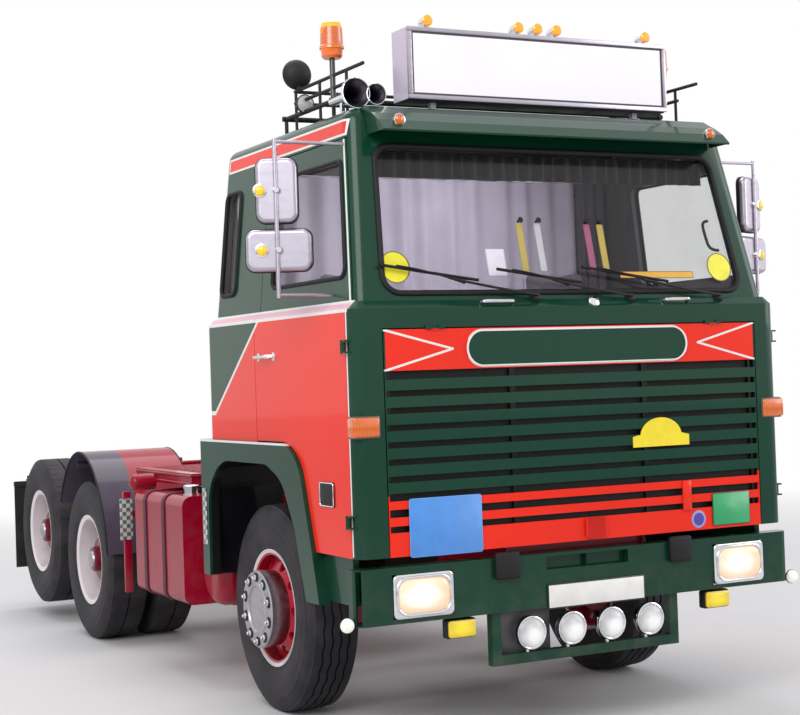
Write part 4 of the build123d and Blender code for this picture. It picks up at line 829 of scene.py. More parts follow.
# %% Tyres
TREAD_HALF = 0.112
TREAD_DROP = 0.0045
GROOVE_DEPTH = 0.013
GROOVES = (-0.068, -0.023, 0.023, 0.068)
ZIGZAG = 0.0035
TYRE_STEPS = 120
TWIN_OFFSET = 0.169
LUGS = 52
LUG_PLACE, LUG_HALF = 0.062, 0.045
WALL = [
    (0.118, 0.287), (0.1185, 0.306), (0.124, 0.310), (0.129, 0.318), (0.1285, 0.326), (0.133, 0.333),
    (0.1395, 0.360), (0.1432, 0.390), (0.145, 0.418), (0.1448, 0.425), (0.1462, 0.4265), (0.1448, 0.4285),
    (0.144, 0.450), (0.1425, 0.470), (0.1438, 0.4715), (0.142, 0.474), (0.138, 0.495), (0.129, 0.515),
    (0.120, 0.526), (0.1175, 0.529), (0.115, 0.537),
]


def tyre_profile(grooves):
    """Half the wall, the tread with its grooves, and the other wall."""
    tread = []
    for groove in grooves:
        for offset, depth in ((-0.0055, 0), (-0.0045, GROOVE_DEPTH), (0.0045, GROOVE_DEPTH), (0.0055, 0)):
            x = groove + offset
            crown = TYRE_R - TREAD_DROP * (abs(x) / TREAD_HALF) ** 2
            tread.append((x, crown - depth))
    shoulder = TYRE_R - TREAD_DROP
    inner_wall = [(-x, radius) for x, radius in WALL]
    return inner_wall + [(-TREAD_HALF, shoulder)] + tread + [(TREAD_HALF, shoulder)] + WALL[::-1]


def zigzag(i, k):
    """Moves the grooves' points left and right in turn."""
    in_tread = len(WALL) < i <= len(WALL) + 4 * len(GROOVES)
    return (ZIGZAG if k % 4 < 2 else -ZIGZAG) if in_tread else 0


def lug_row(side):
    """Shoulder lugs of one side of a driven tyre, by Geometry Nodes."""
    low, high = LUG_PLACE * side - LUG_HALF, LUG_PLACE * side + LUG_HALF
    lug = Shape().block((-0.016, -0.0105, low), (0.0045, 0.0105, high), 0.003, 1)
    return copied(CIRCLE_TREE, lug.as_mesh("lug"), TYRE_RUBBER, Count=LUGS, Radius=TYRE_R - 0.0055)


lug_rows = [lug_row(side) for side in (-1, 1)]
for wheel, centre in WHEELS.items():
    steered = wheel.startswith("front")
    out = Vector((1 if centre.x > 0 else -1, 0, 0))
    rubber = Shape()
    for offset in (0,) if steered else (-TWIN_OFFSET, TWIN_OFFSET):
        spot = centre + ACROSS * offset
        profile = tyre_profile(GROOVES if steered else (0.0,))
        rubber.turned(profile, spot, out, TYRE_STEPS, zigzag if steered else None)
        for half, row in enumerate([] if steered else lug_rows):
            turn = Matrix.Rotation(math.pi / LUGS * half, 4, "X")
            rubber.add_mesh(row, Matrix.Translation(spot) @ turn @ facing(1))
    tyre = rubber.piece(f"tyre_detail_{wheel}", TYRE_RUBBER, f"wheel_{wheel}", "tyre_rubber", 30)
    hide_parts(f"tyre_{wheel}")
    print(tyre.name, len(tyre.data.polygons), "faces")

# %% [markdown]
# ## Hubs and nuts
# Ten nuts hold each wheel on a 335 mm circle. In front they sit in a bright ring with oval openings,
# which stands out past the rim, and behind they sit on the disc round a red hub.

# %% Hubs and nuts
NUT_CIRCLE = 0.1675
NUTS = 10
STUD_OUT = 0.034
RING_R = 0.203
RING_OUT = 0.214


def nut_mesh():
    """A hexagon nut on its washer and stud, facing Z."""
    unit = Shape()
    unit.turned(((0, 0.0), (0, 0.021), (0.004, 0.021), (0.004, 0.0)), steps=14)
    unit.turned(((0.003, 0.0), (0.003, 0.017), (0.020, 0.017), (0.0235, 0.013), (0.0235, 0.0)), steps=6)
    stud = ((0.02, 0.0), (0.02, 0.0095), (STUD_OUT - 0.002, 0.0095), (STUD_OUT, 0.008), (STUD_OUT, 0.0))
    return unit.turned(stud, steps=10).as_mesh("nut")


OVAL = ((-0.004, 0.024, 0.031, 0.024), (0.0012, 0.024, 0.031, 0.024))
oval_mesh = Shape().stack(Vector(), OVAL, ACROSS, BACK).as_mesh("oval")
nuts = copied(CIRCLE_TREE, nut_mesh(), CHROME, Count=NUTS, Radius=NUT_CIRCLE)
# The ring's oval openings are thin black oval patches laid on it: painted shade where real openings look
# dark.
opening_shades = copied(CIRCLE_TREE, oval_mesh, SEAL_RUBBER, Count=NUTS, Radius=NUT_CIRCLE)
FRONT_RING = (
    (0.110, 0.150), (0.110, 0.196), (RING_OUT - 0.020, RING_R), (RING_OUT - 0.006, RING_R),
    (RING_OUT, RING_R - 0.007), (RING_OUT, 0.136), (RING_OUT + 0.004, 0.132), (RING_OUT + 0.004, 0.122),
    (RING_OUT - 0.003, 0.117), (RING_OUT - 0.003, 0.0),
)
REAR_CAP = (
    (-0.220, 0.116), (0.176, 0.116), (0.186, 0.148), (0.208, 0.150), (0.222, 0.140), (0.230, 0.090),
    (0.266, 0.084), (0.274, 0.074), (0.274, 0.0),
)
REAR_END = ((0.2745, 0.0), (0.2745, 0.060), (0.284, 0.056), (0.290, 0.030), (0.290, 0.0))
for wheel, centre in WHEELS.items():
    side = 1 if centre.x > 0 else -1
    out = Vector((side, 0, 0))
    body = f"wheel_{wheel}"
    if wheel.startswith("front"):
        ring = Shape().turned(FRONT_RING, centre, out, 64)
        ring.piece(f"hub_ring_{wheel}", HUB_METAL, body, "bright_metal")
        face = Matrix.Translation(centre + out * (RING_OUT + 0.0005)) @ facing(side)
        Shape().add_mesh(opening_shades, face).piece(f"hub_opening_shades_{wheel}", SEAL_RUBBER, body, "black_rubber")
        nuts_out = RING_OUT - 0.012
    else:
        Shape().turned(REAR_CAP, centre, out, 48).piece(f"hub_cap_{wheel}", HUB_RED, body, "chassis_red")
        Shape().turned(REAR_END, centre, out, 32).piece(f"hub_end_{wheel}", HUB_METAL, body, "bright_metal")
        nuts_out = 0.016
    place = Matrix.Translation(centre + out * nuts_out) @ facing(side)
    Shape().add_mesh(nuts, place).piece(f"wheel_nuts_{wheel}", CHROME, body, "bright_metal")
print("nuts and hubs on", len(WHEELS), "wheels")

# %% [markdown]
# ## Lamps on the bumper
# Each headlamp is a moulded glass with upright flutes in a bright square bezel, and its bulb is lit.
# The driving lamps are domed glasses in chrome bowls. Flutes are a wave in the bump of the glass.

# %% Lamps on the bumper
HEAD_X, HEAD_Z = 0.905, middle("headlamps").z
SPOTS_X, SPOTS_Z = (-0.336, -0.108, 0.120, 0.348), 0.500
FOGS_X = (-0.697, 0.783)


def lit_glass(name, centres, reach, core, edge, strength, clear=ink(236, 236, 232)):
    """Fluted glass in front of a bulb: bright near each centre and warmer towards its edge."""
    finish = Finish(name, coat=1.0, coat_rough=0.02, ior=1.5, glow_strength=strength)
    near = None
    for x, z in centres:
        share = length((finish.x - x) / reach[0], (finish.z - z) / reach[1])
        near = share if near is None else near.least(share)
    patchy = near + (finish.noise(26.0, 2.0) - 0.5) * 0.5
    glow = finish.mix(core, edge, patchy.rise(0.25, 1.0))
    finish.set(colour=finish.mix(clear, edge, patchy.rise(0.5, 1.2) * 0.6), rough=0.12, glow=glow)
    flutes = finish.waves(90.0) * 0.6 + finish.noise(60.0, 1.0) * 0.4
    return finish.bump(flutes, 0.0012, 0.6).material


HEAD_BULBS = [(side * HEAD_X - 0.02, HEAD_Z) for side in (-1, 1)]
SPOT_BULBS = [(x + 0.012, SPOTS_Z - 0.02) for x in SPOTS_X]
HEAD_GLASS = lit_glass("headlamp_glass", HEAD_BULBS, (0.115, 0.07),
                       ink(255, 238, 206), ink(224, 172, 110), 0.50)
# The driving-lamp glass goes grey towards its edge: painted shade round its glowing core.
SPOT_GLASS = lit_glass("driving_lamp_glass", SPOT_BULBS, (0.07, 0.06),
                       ink(226, 224, 230), ink(104, 100, 112), 0.28)
FOG_GLASS = lit_glass("fog_lamp_glass", [(-0.70, 0.55), (0.78, 0.55)], (0.06, 0.04),
                      ink(236, 206, 10), ink(200, 166, 4), 0.3, ink(232, 208, 8))
HEAD_LENS = (
    (-0.010, 0.132, 0.078, 0.055), (0.004, 0.132, 0.078, 0.055), (0.011, 0.124, 0.070, 0.050),
    (0.016, 0.098, 0.048, 0.040), (0.0185, 0.05, 0.022, 0.020), (0.019, 0.010, 0.006, 0.005),
)
SPOT_LENS = ((-0.006, 0.071), (0.003, 0.070), (0.010, 0.060), (0.017, 0.040), (0.0205, 0.018), (0.021, 0.0))
SPOT_RING = (
    (-0.022, 0.0815), (-0.002, 0.0815), (0.004, 0.079), (0.006, 0.0745), (0.003, 0.070), (-0.006, 0.0695),
)
FOG_LENS = (
    (-0.004, 0.071, 0.039, 0.012), (0.008, 0.071, 0.039, 0.012), (0.014, 0.062, 0.030, 0.012),
    (0.016, 0.020, 0.010, 0.006),
)
MARKER_CUP = ((-0.030, 0.0), (-0.030, 0.014), (-0.006, 0.035), (0.003, 0.036), (0.003, 0.0))
MARKER_ARM = ((1.232, 0.060, 0.640), (1.262, 0.055, 0.628), (1.275, 0.045, 0.604))


def on_side(side, points):
    """Points given as x, station and z, on one side of the truck."""
    return [at(side * x, station, z) for x, station, z in points]


lenses, bezels, glasses, rings = Shape(), Shape(), Shape(), Shape()
for side in (-1, 1):
    lenses.stack(at(side * HEAD_X, -0.012, HEAD_Z), HEAD_LENS)
    corners = rounded_ring(at(side * HEAD_X, -0.0165, HEAD_Z), ACROSS, UP, 0.139, 0.086, 0.056)
    bezels.tube(corners, 0.0065, closed=True, smooth=False)
for x in SPOTS_X:
    glasses.turned(SPOT_LENS, at(x, -0.008, SPOTS_Z), AHEAD, 40)
    rings.turned(SPOT_RING, at(x, -0.008, SPOTS_Z), AHEAD, 48)
lenses.piece("headlamp_lenses", HEAD_GLASS, "chassis", "lamp_lens", 60)
bezels.piece("headlamp_rings", CHROME, "chassis", "bright_metal", 60)
glasses.piece("driving_lamp_glasses", SPOT_GLASS, "chassis", "lamp_lens", 60)
rings.piece("driving_lamp_rings", CHROME, "chassis", "bright_metal", 40)

yellow, housings, globes, cups = Shape(), Shape(), Shape(), Shape()
for x in FOGS_X:
    housings.bar((x - 0.078, 0.022, 0.508), (x + 0.078, 0.075, 0.598), 0.01)
    housings.bar((x - 0.015, 0.035, 0.590), (x + 0.015, 0.065, 0.612), 0.003)
    yellow.stack(at(x, 0.022, 0.553), FOG_LENS)
globe = [(0.034 * math.sin(t), 0.034 * math.cos(t)) for t in map(math.radians, range(0, 91, 15))]
for side in (-1, 1):
    cups.tube(on_side(side, MARKER_ARM), 0.007)
    cups.turned(MARKER_CUP, at(side * 1.278, 0.035, 0.622), AHEAD, 24)
    globes.turned(globe, at(side * 1.278, 0.033, 0.622), AHEAD, 24)
yellow.piece("fog_lamp_glasses", FOG_GLASS, "chassis", "lamp_lens")
housings.piece("fog_lamp_housings", BLACK_PLASTIC, "chassis", "black_rubber")
globes.piece("marker_globes", LENS_MILK, "chassis", "lamp_lens", 60)
cups.piece("marker_arms", BLACK_PLASTIC, "chassis", "black_rubber")
print("bumper lamps done")

# %% [markdown]
# ## Bumper
# Two rubber buffers are bolted to the steel bumper, a sheet stands behind the lamps on one side, and a welded
# tray closes the opening that serves as a step.

# %% Bumper
STEP_HALF, STEP_LOW, STEP_TOP = 0.235, 0.788, 0.85
STEP_SHEET = 0.003
buffers = Shape()
for x in (-0.463, 0.537):
    buffers.bar((x - 0.066, -0.034, 0.765), (x + 0.066, 0.002, 0.893), 0.014, 3)
buffers.piece("bumper_buffers", SEAL_RUBBER, "chassis", "black_rubber")
back_plate = Shape().bar((-0.487, 0.066, 0.404), (-0.190, 0.069, 0.607), 0.001)
back_plate.piece("lamp_back_plate", GREY_STEEL, "chassis", "frame_black")

step, wide = Shape(), STEP_HALF + 0.008
step.bar((-wide, 0.040, STEP_LOW - 0.008), (wide, 0.040 + STEP_SHEET, STEP_TOP + 0.008), 0.0008, 1)
for z in (STEP_LOW - 0.012, STEP_TOP + 0.009):
    step.bar((-wide, 0.0065, z), (wide, 0.0395, z + STEP_SHEET), 0.0008, 1)
for x in (-STEP_HALF - 0.0065, -0.0015, STEP_HALF + 0.0035):
    step.bar((x, 0.0085, STEP_LOW - 0.008), (x + STEP_SHEET, 0.0395, STEP_TOP + 0.008), 0.0008, 1)
step.piece("bumper_step", GREEN_PAINT, "chassis", "cab_green")
print("bumper done")

# %% [markdown]
# ## Plates
# A number plate is pressed aluminium with a raised dark edge. All plates here are blank.
# Their colour is a mask of the plate's own border on the front coordinates.

# %% Plates
PLATE_WHITE = ink(232, 230, 226)
PLATES = (
    ("number_plate", "chassis", PLATE_WHITE, ink(20, 20, 22), (0.042, -0.006, 0.659), (0.281, 0.060), 0.007),
    ("blue_plate", "front_hatch", ink(74, 142, 220), ink(92, 158, 230),
     (-0.773, -0.004, 1.039), (0.191, 0.135), 0.003),
    ("green_plate", "front_hatch", ink(34, 160, 96), ink(12, 70, 44),
     (0.874, -0.004, 1.008), (0.118, 0.083), 0.005),
)
DISC_X, DISC_Z, DISC_R = 0.67, 0.966, 0.044
DISC = ((-0.0035, 0.0), (-0.0035, 0.044), (0.0, 0.044), (0.001, 0.040), (0.001, 0.0))
BADGE = ((-0.004, 0.080, 0.058, 0.010), (0.004, 0.080, 0.058, 0.010), (0.006, 0.076, 0.054, 0.008))
ARCHED_X, ARCHED_Z = 0.458, 1.345
ARCHED_YELLOW = ink(246, 222, 34)


def plate_finish(name, field, border, x, z, half_x, half_z, edge, rounded=0.0):
    """A field in a border of width edge. rounded is the corner radius, or 0 for square corners."""
    finish = Finish(name, coat=0.3, coat_rough=0.2)
    if rounded:
        past_x = (abs(finish.x - x) - (half_x - rounded)).most(0)
        past_z = (abs(finish.z - z) - (half_z - rounded)).most(0)
        inside = length(past_x, past_z) < rounded - edge
    else:
        inside = finish.x.near(x, half_x - edge) & finish.z.near(z, half_z - edge)
    worn = finish.noise(14.0, 3.0).rise(0.35, 0.8)
    tone = finish.mix(field, shade(field, 0.86), worn)
    finish.set(colour=finish.mix(border, tone, inside), rough=0.3 + worn * 0.2)
    return finish.bump(finish.noise(60.0, 2.0), 0.0003, 0.3).material


for name, body, field, border, (x, station, z), (half_x, half_z), edge in PLATES:
    plate = Shape().stack(at(x, station, z), (
        (-0.0015, half_x, half_z, 0.012), (0.001, half_x, half_z, 0.012),
        (0.0018, half_x - 0.0012, half_z - 0.0012, 0.011)))
    plate.piece(name, plate_finish(name, field, border, x, z, half_x, half_z, edge), body, "sign_white")
disc = Shape().turned(DISC, at(DISC_X, -0.0015, DISC_Z), AHEAD, 32)
disc_finish = plate_finish(
    "blue_disc", ink(70, 60, 160), ink(150, 150, 200), DISC_X, DISC_Z, DISC_R, DISC_R, 0.012, DISC_R)
disc.piece("blue_disc", disc_finish, "front_hatch", "sign_white")
arch = [(0.125 * math.cos(t), 0.05 + 0.093 * math.sin(t)) for t in map(math.radians, range(8, 180, 12))]
outline = [(-0.17, 0), (0.17, 0), (0.17, 0.052), (0.135, 0.060), *arch, (-0.135, 0.060), (-0.17, 0.052)]
arched = Shape().slab([at(ARCHED_X + x, -0.003, ARCHED_Z + z) for x, z in outline], (0, 0.003, 0))
arched_finish = plate_finish("yellow_plate", ARCHED_YELLOW, ARCHED_YELLOW, ARCHED_X, 1.41, 0.3, 0.2, 0.0)
arched.piece("yellow_plate", arched_finish, "front_hatch", "sign_white")

for side, name in SIDES:
    spot = at(side * (CAB_HALF + 0.0015), 0.335, 1.194)
    badge = Shape().stack(spot, BADGE, BACK * side)
    ring = rounded_ring(spot + ACROSS * side * 0.005, BACK * side, UP, 0.076, 0.054, 0.010)
    edge = Shape().tube(ring, 0.0035, closed=True, smooth=False)
    badge.piece(f"badge_plate_{name}", BLACK_PLASTIC, f"door_{name}", "black_rubber")
    edge.piece(f"badge_frame_{name}", CHROME, f"door_{name}", "bright_metal")
print("plates done, all blank")

# %% [markdown]
# ## Indicators, handles and wipers
# The indicators wrap round the cab's front corners. Bent chrome handles stand under the screen, and three
# wipers lie across its lower edge: a spindle, a flat sprung arm, and a blade in its holder.

# %% Indicators, handles and wipers
HANDLE_Z = 1.857
HANDLE_BEND = ((0, 0.945), (0.034, 0.955), (0.038, 1.000), (0.038, 1.100), (0.034, 1.135), (0, 1.145))
HANDLE_FOOT = ((-0.003, 0.0), (-0.003, 0.022), (0.004, 0.022), (0.008, 0.014), (0.008, 0.0))
WIPERS = (
    ((-0.223, 2.095), (-1.042, 2.237)),
    ((0.326, 2.087), (-0.424, 2.217)),
    ((0.868, 2.085), (0.060, 2.227)),
)
SPINDLE = ((-0.020, 0.0), (-0.020, 0.026), (0.006, 0.024), (0.016, 0.017), (0.020, 0.0))

indicators = Shape().pair((1.100, -0.014, 1.464), (1.234, 0.062, 1.556), 0.012, 3)
indicators.piece("indicators", AMBER, "cab", "amber_lens")
lamp_seats = Shape().pair((1.094, -0.006, 1.458), (1.226, 0.068, 1.562), 0.008)
lamp_seats.piece("indicator_seats", GREY_STEEL, "cab", "frame_black")

handles = Shape()
for x, half in ((-0.449, 0.085), (0.591, 0.075)):
    bend = ((-half, 0.028, 2.074), (-half, 0.004, 2.076), (0.010 - half, -0.006, 2.078), (0, -0.008, 2.078),
            (half - 0.010, -0.006, 2.078), (half, 0.004, 2.076), (half, 0.028, 2.074))
    handles.tube([at(x + along, station, z) for along, station, z in bend], 0.008)
knob = ((-0.012, 0.0), (-0.012, 0.030), (0.004, 0.030), (0.010, 0.022), (0.012, 0.0))
handles.turned(knob, at(0.096, 0.012, 2.073), (0, -1, 0.6), 24)
handles.piece("screen_handles", CHROME, "cab", "bright_metal")

for side, name in SIDES:
    bend = [at(side * (CAB_HALF + out), station, HANDLE_Z) for out, station in HANDLE_BEND]
    handle = Shape().tube(bend, 0.010)
    for station in (HANDLE_BEND[0][1], HANDLE_BEND[-1][1]):
        handle.turned(HANDLE_FOOT, at(side * CAB_HALF, station, HANDLE_Z), ACROSS * side, 20)
    handle.piece(f"door_handle_{name}", CHROME, f"door_{name}", "bright_metal")


def on_screen(x, z, lift):
    """A point lifted off the outside of the windscreen."""
    return at(x, screen_station(z) - lift, z)


def above_screen(points):
    """Points lifted off the screen, each given as a place on it, its shift in x and z, and its lift."""
    return [on_screen(place.x + along, place.z + up, lift) for place, along, up, lift in points]


arms, blades = Shape(), Shape()
for (pivot_x, pivot_z), (tip_x, tip_z) in WIPERS:
    pivot = at(pivot_x, 0.026, pivot_z)
    arms.turned(SPINDLE, pivot, (0, -1, 0.5), 20)
    tip, root = Vector((tip_x, 0, tip_z)), Vector((pivot_x, 0, pivot_z))
    near = tip.lerp(root, 0.42)
    bend = above_screen([(root.lerp(near, 0.35), 0, 0, 0.050), (near, 0, 0.012, 0.040)])
    arms.tube([pivot + Vector((0, -0.018, 0.012)), *bend], 0.0065)
    inner, outer = tip.lerp(root, 0.30), tip.lerp(root, 0.62)
    blade = [(tip, 0, 0.016, 0.024), (inner, 0, 0.020, 0.030), (outer, 0, 0.030, 0.024)]
    blades.tube(above_screen(blade), 0.0075)
    holder = [(tip, 0.08, 0.012, 0.032), (inner, 0.02, 0.026, 0.044), (outer, -0.08, 0.014, 0.032)]
    blades.tube(above_screen(holder), 0.0045)
arms.piece("wiper_arms", BLACK_PLASTIC, "cab", "frame_black")
blades.piece("wiper_blades", SEAL_RUBBER, "cab", "black_rubber")
print("handles and", len(WIPERS), "wipers done")

# %% [markdown]
# ## Window seals and the screen behind the louvres
# A rubber profile is pressed round each pane. Behind the louvres a black sheet hides the radiator; it is
# painted shade, so the gaps read as black. It is shorter in the middle, where the frame needs room when the
# cab tilts.

# %% Window seals
PANE_LOW, PANE_HIGH = 2.205, 2.765


def rounded_loop(corners, radius, steps=6):
    """A closed loop of points through corners, with each corner rounded."""
    points = []
    for k, corner in enumerate(corners):
        back = (corners[k - 1] - corner).normalized()
        ahead = (corners[(k + 1) % len(corners)] - corner).normalized()
        half = back.angle(ahead) / 2
        reach = radius / math.tan(half)
        centre = corner + (back + ahead).normalized() * (radius / math.sin(half))
        start = corner + back * reach - centre
        end = corner + ahead * reach - centre
        axis = start.cross(end).normalized()
        turn = start.angle(end)
        points += [centre + Matrix.Rotation(turn * i / steps, 4, axis) @ start for i in range(steps + 1)]
    return points


def seal(name, corners, radius, thick, body):
    loop = Shape().tube(rounded_loop(corners, radius), thick, closed=True, smooth=False, sides=2)
    loop.piece(name, SEAL_RUBBER, body, "black_rubber", 50)


def pane(side, front_low, front_high, rear):
    """Corners of a side pane from the stations of its front edge, low and high, and of its rear edge."""
    edges = ((front_low, PANE_LOW), (rear, PANE_LOW), (rear, PANE_HIGH), (front_high, PANE_HIGH))
    return [at(side * (side_half(z) + 0.001), s, z) for s, z in edges]


screen = ((-1.034, 2.12), (1.034, 2.12), (0.975, 2.83), (-0.975, 2.83))
seal("screen_seal", [on_screen(x, z, -0.001) for x, z in screen], 0.085, 0.015, "cab")
for side, name in SIDES:
    seal(f"door_window_seal_{name}", pane(side, 0.165, 0.299, 1.062), 0.045, 0.011, f"door_{name}")
    seal(f"rear_window_seal_{name}", pane(side, 1.580, 1.580, 1.798), 0.045, 0.012, "cab")

# A black sheet behind the louvres: painted shade, so the gaps between them read as black.
shade_sheet = Shape()
for low_x, high_x, low_z in ((-1.056, -0.525, 0.918), (-0.5245, 0.5245, 0.990), (0.525, 1.056, 0.918)):
    shade_sheet.bar((low_x, 0.0308, low_z), (high_x, 0.0335, 1.946), 0.0008, 1)
shade_sheet.piece("louvre_shade_sheet", SEAL_RUBBER, "front_hatch", "black_rubber")
print("seals done")

# %% [markdown]
# ## Mirrors
# Two aluminium shells hang on one bent chrome arm on each door. Each has a small yellow lamp and a clamp on
# its shell, a rubber edge, and the mirror glass behind, turned in towards the driver.

# %% Mirrors
MIRROR_PLACES = {"right": 0.285, "left": 0.430}
MIRROR_ARM_X = 1.452
MIRROR_TURN = math.radians(25)
MIRROR_SHELLS = ((-0.004, 2.615, 0.192, 0.300), (-0.007, 2.338, 0.306, 0.195))
MIRROR_EDGE = ((-0.006, -0.004, 0.042), (-0.006, 0.004, 0.047), (0.012, 0.005, 0.048), (0.014, 0.001, 0.044))
MIRROR_GLASS = bright_metal("mirror_glass", ink(214, 218, 222), 0.02, 0.0)
MIRROR_LAMP = ((-0.004, 0.026), (0.006, 0.025), (0.014, 0.019), (0.018, 0.010), (0.019, 0.0))
LAMP_CLAMP = ((-0.002, 0.0), (-0.002, 0.032), (0.004, 0.032), (0.006, 0.027), (0.006, 0.0))
SHELL_CLAMP = ((-0.004, 0.0), (-0.004, 0.020), (0.012, 0.018), (0.022, 0.012), (0.022, 0.0))
for side, name in SIDES:
    across = Vector((math.cos(MIRROR_TURN), side * math.sin(MIRROR_TURN), 0))
    ahead = Vector((side * math.sin(MIRROR_TURN), -math.cos(MIRROR_TURN), 0))
    rims, glass, lamps, clamps = Shape(), Shape(), Shape(), Shape()
    for shift, z, width, height in MIRROR_SHELLS:
        centre = at(side * MIRROR_ARM_X, MIRROR_PLACES[name], z) - ahead * 0.007 + across * (side * shift)
        back, half_w, half_h = centre - ahead * 0.045, width / 2, height / 2
        outlines = [(out, half_w + grow, half_h + grow, corner) for out, grow, corner in MIRROR_EDGE]
        rims.stack(back, outlines, across, UP, (False, False))
        sheet = [(out, half_w - 0.003, half_h - 0.003, 0.041) for out in (-0.004, -0.001)]
        glass.stack(back, sheet, across)
        lamp_spot = centre + across * (side * 0.078)
        lamps.turned(MIRROR_LAMP, lamp_spot, ahead, 24)
        clamps.turned(LAMP_CLAMP, lamp_spot, ahead, 24)
        clamps.turned(SHELL_CLAMP, centre, ahead, 20)
    rims.piece(f"mirror_edges_{name}", SEAL_RUBBER, f"door_{name}", "black_rubber")
    glass.piece(f"mirror_glass_{name}", MIRROR_GLASS, f"door_{name}", "bright_metal")
    lamps.piece(f"mirror_lamps_{name}", YELLOW_LENS, f"door_{name}", "amber_lens", 60)
    clamps.piece(f"mirror_clamps_{name}", CHROME, f"door_{name}", "bright_metal")
print("mirrors done")

# %% [markdown]
# ## Horns, sign frame and work lamps on the roof
# The air horns are spun trumpets, open at the bell. The lit sign is a tray with a pale front in an
# aluminium frame, and round black work lamps stand at the back of the rack.

# %% Roof fittings
HORN_X, HORN_STATION, HORN_Z = -1.005, 0.325, 3.095
TRUMPET = (
    (0.004, 0.0685), (-0.001, 0.0700), (-0.002, 0.0735), (0.002, 0.0765), (0.010, 0.0755), (0.024, 0.059),
    (0.052, 0.043), (0.110, 0.030), (0.200, 0.023), (0.278, 0.020), (0.282, 0.012), (0.282, 0.0),
)
BELL_INSIDE = (
    (0.200, 0.0), (0.200, 0.014), (0.110, 0.023), (0.052, 0.037), (0.024, 0.053), (0.010, 0.066),
    (0.004, 0.0685),
)
HORN_INSIDE = bright_metal("horn_inside", ink(104, 98, 110), 0.3, 0.2)
horns, throats = Shape(), Shape()
horn_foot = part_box("air_horns")[0].z
foot_near, foot_far = HORN_STATION + 0.150, HORN_STATION + 0.170
for x, reach in ((HORN_X, 1.0), (HORN_X + 0.108, 0.7)):
    spot = at(x, HORN_STATION, HORN_Z)
    for shape, profile in ((horns, TRUMPET), (throats, BELL_INSIDE)):
        shape.turned([(along * reach, radius * reach) for along, radius in profile], spot, BACK, 40)
    horns.bar((x - 0.010, foot_near, horn_foot), (x + 0.010, foot_far, HORN_Z - 0.02), 0.002, 1)
horn_piece = horns.piece("horn_trumpets", CHROME, "cab", "bright_metal")
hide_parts("air_horns")
throats.piece("horn_throats", HORN_INSIDE, "cab", "bright_metal")

frame_bars, ahead, behind = Shape(), SIGN_FRONT - 0.007, SIGN_FRONT + 0.012
left, right, top = SIGN_LOW.x, SIGN_HIGH.x, SIGN_HIGH.z
for low_z, high_z in ((SIGN_BOTTOM - 0.002, SIGN_BOTTOM + 0.020), (top - 0.020, top + 0.002)):
    frame_bars.bar((left - 0.002, ahead, low_z), (right + 0.002, behind, high_z), 0.003)
for low_x, high_x in ((left - 0.002, left + 0.020), (right - 0.020, right + 0.002)):
    frame_bars.bar((low_x, ahead, SIGN_BOTTOM + 0.0205), (high_x, behind, top - 0.0205), 0.003)
frame_bars.piece("sign_frame", MIRROR_SHELL, "cab", "bright_metal")
underside = Shape().bar((left + 0.004, SIGN_FRONT + 0.014, SIGN_BOTTOM - 0.006),
                        (right - 0.004, SIGN_HIGH.y - FACE - 0.004, SIGN_BOTTOM + 0.004), 0.002)
underside.piece("sign_underside", IRON, "cab", "frame_black")

BIG_LAMP = ((-0.030, 0.0), (-0.028, 0.030), (-0.012, 0.062), (0.012, 0.077), (0.030, 0.079), (0.034, 0.072))
BIG_GLASS = ((0.030, 0.074), (0.036, 0.060), (0.042, 0.030), (0.043, 0.0))
SMALL_LAMP = ((-0.040, 0.0), (-0.038, 0.028), (-0.014, 0.048), (0.0, 0.050), (0.004, 0.046))
SMALL_GLASS = ((0.0, 0.046), (0.008, 0.030), (0.011, 0.0))
VISOR_LAMP = ((-0.030, 0.0), (-0.030, 0.020), (-0.006, 0.030), (0.006, 0.030), (0.008, 0.026))
VISOR_GLASS = ((0.004, 0.027), (0.014, 0.020), (0.019, 0.0))
work_lamps, work_glasses, visor_lamps, visor_glasses = Shape(), Shape(), Shape(), Shape()
for side in (-1, 1):
    x = side * 0.98
    big, small, visor = at(x, 1.06, 3.318), at(x, 0.985, 3.150), at(side * 0.900, 0.090, 2.935)
    work_lamps.turned(BIG_LAMP, big, BACK, 36)
    work_lamps.bar((x - 0.012, 1.05, 3.232), (x + 0.012, 1.07, 3.256), 0.003, 1)
    work_lamps.turned(SMALL_LAMP, small, AHEAD, 28)
    work_glasses.turned(SMALL_GLASS, small, AHEAD, 28)
    work_glasses.turned(BIG_GLASS, big, BACK, 36)
    visor_lamps.turned(VISOR_LAMP, visor, AHEAD, 24)
    visor_glasses.turned(VISOR_GLASS, visor, AHEAD, 24)
work_lamps.piece("work_lamps", BLACK_PLASTIC, "cab", "frame_black")
work_glasses.piece("work_lamp_glasses", SPOT_GLASS, "cab", "lamp_lens", 60)
visor_lamps.piece("visor_lamps", CHROME, "cab", "bright_metal")
visor_glasses.piece("visor_lamp_glasses", AMBER, "cab", "amber_lens", 60)
print("roof done")

# %% [markdown]
# ## Seats and bunk
# Each sprung seat has piped pads, and behind them a bunk carries its mattress. Pads are sewn covers over
# foam, so each is a closed cover that a cloth simulation blows up against its seams.

# %% Seats and bunk
FLOOR_Z, TUNNEL_TOP = 1.372, 1.640
SEAT_X = 0.640
SEAT_LOW, SEAT_HIGH = (-0.204, 0.740, FLOOR_Z + 0.195), (0.204, 1.250, FLOOR_Z + 0.340)
BACK_LOW, BACK_HIGH = (-0.204, 1.175, FLOOR_Z + 0.350), (0.204, 1.290, FLOOR_Z + 0.950)
BUNK_LOW, BUNK_HIGH = (-1.080, 1.330, TUNNEL_TOP + 0.062), (1.080, 1.826, TUNNEL_TOP + 0.180)
COVER_INSET = 0.012


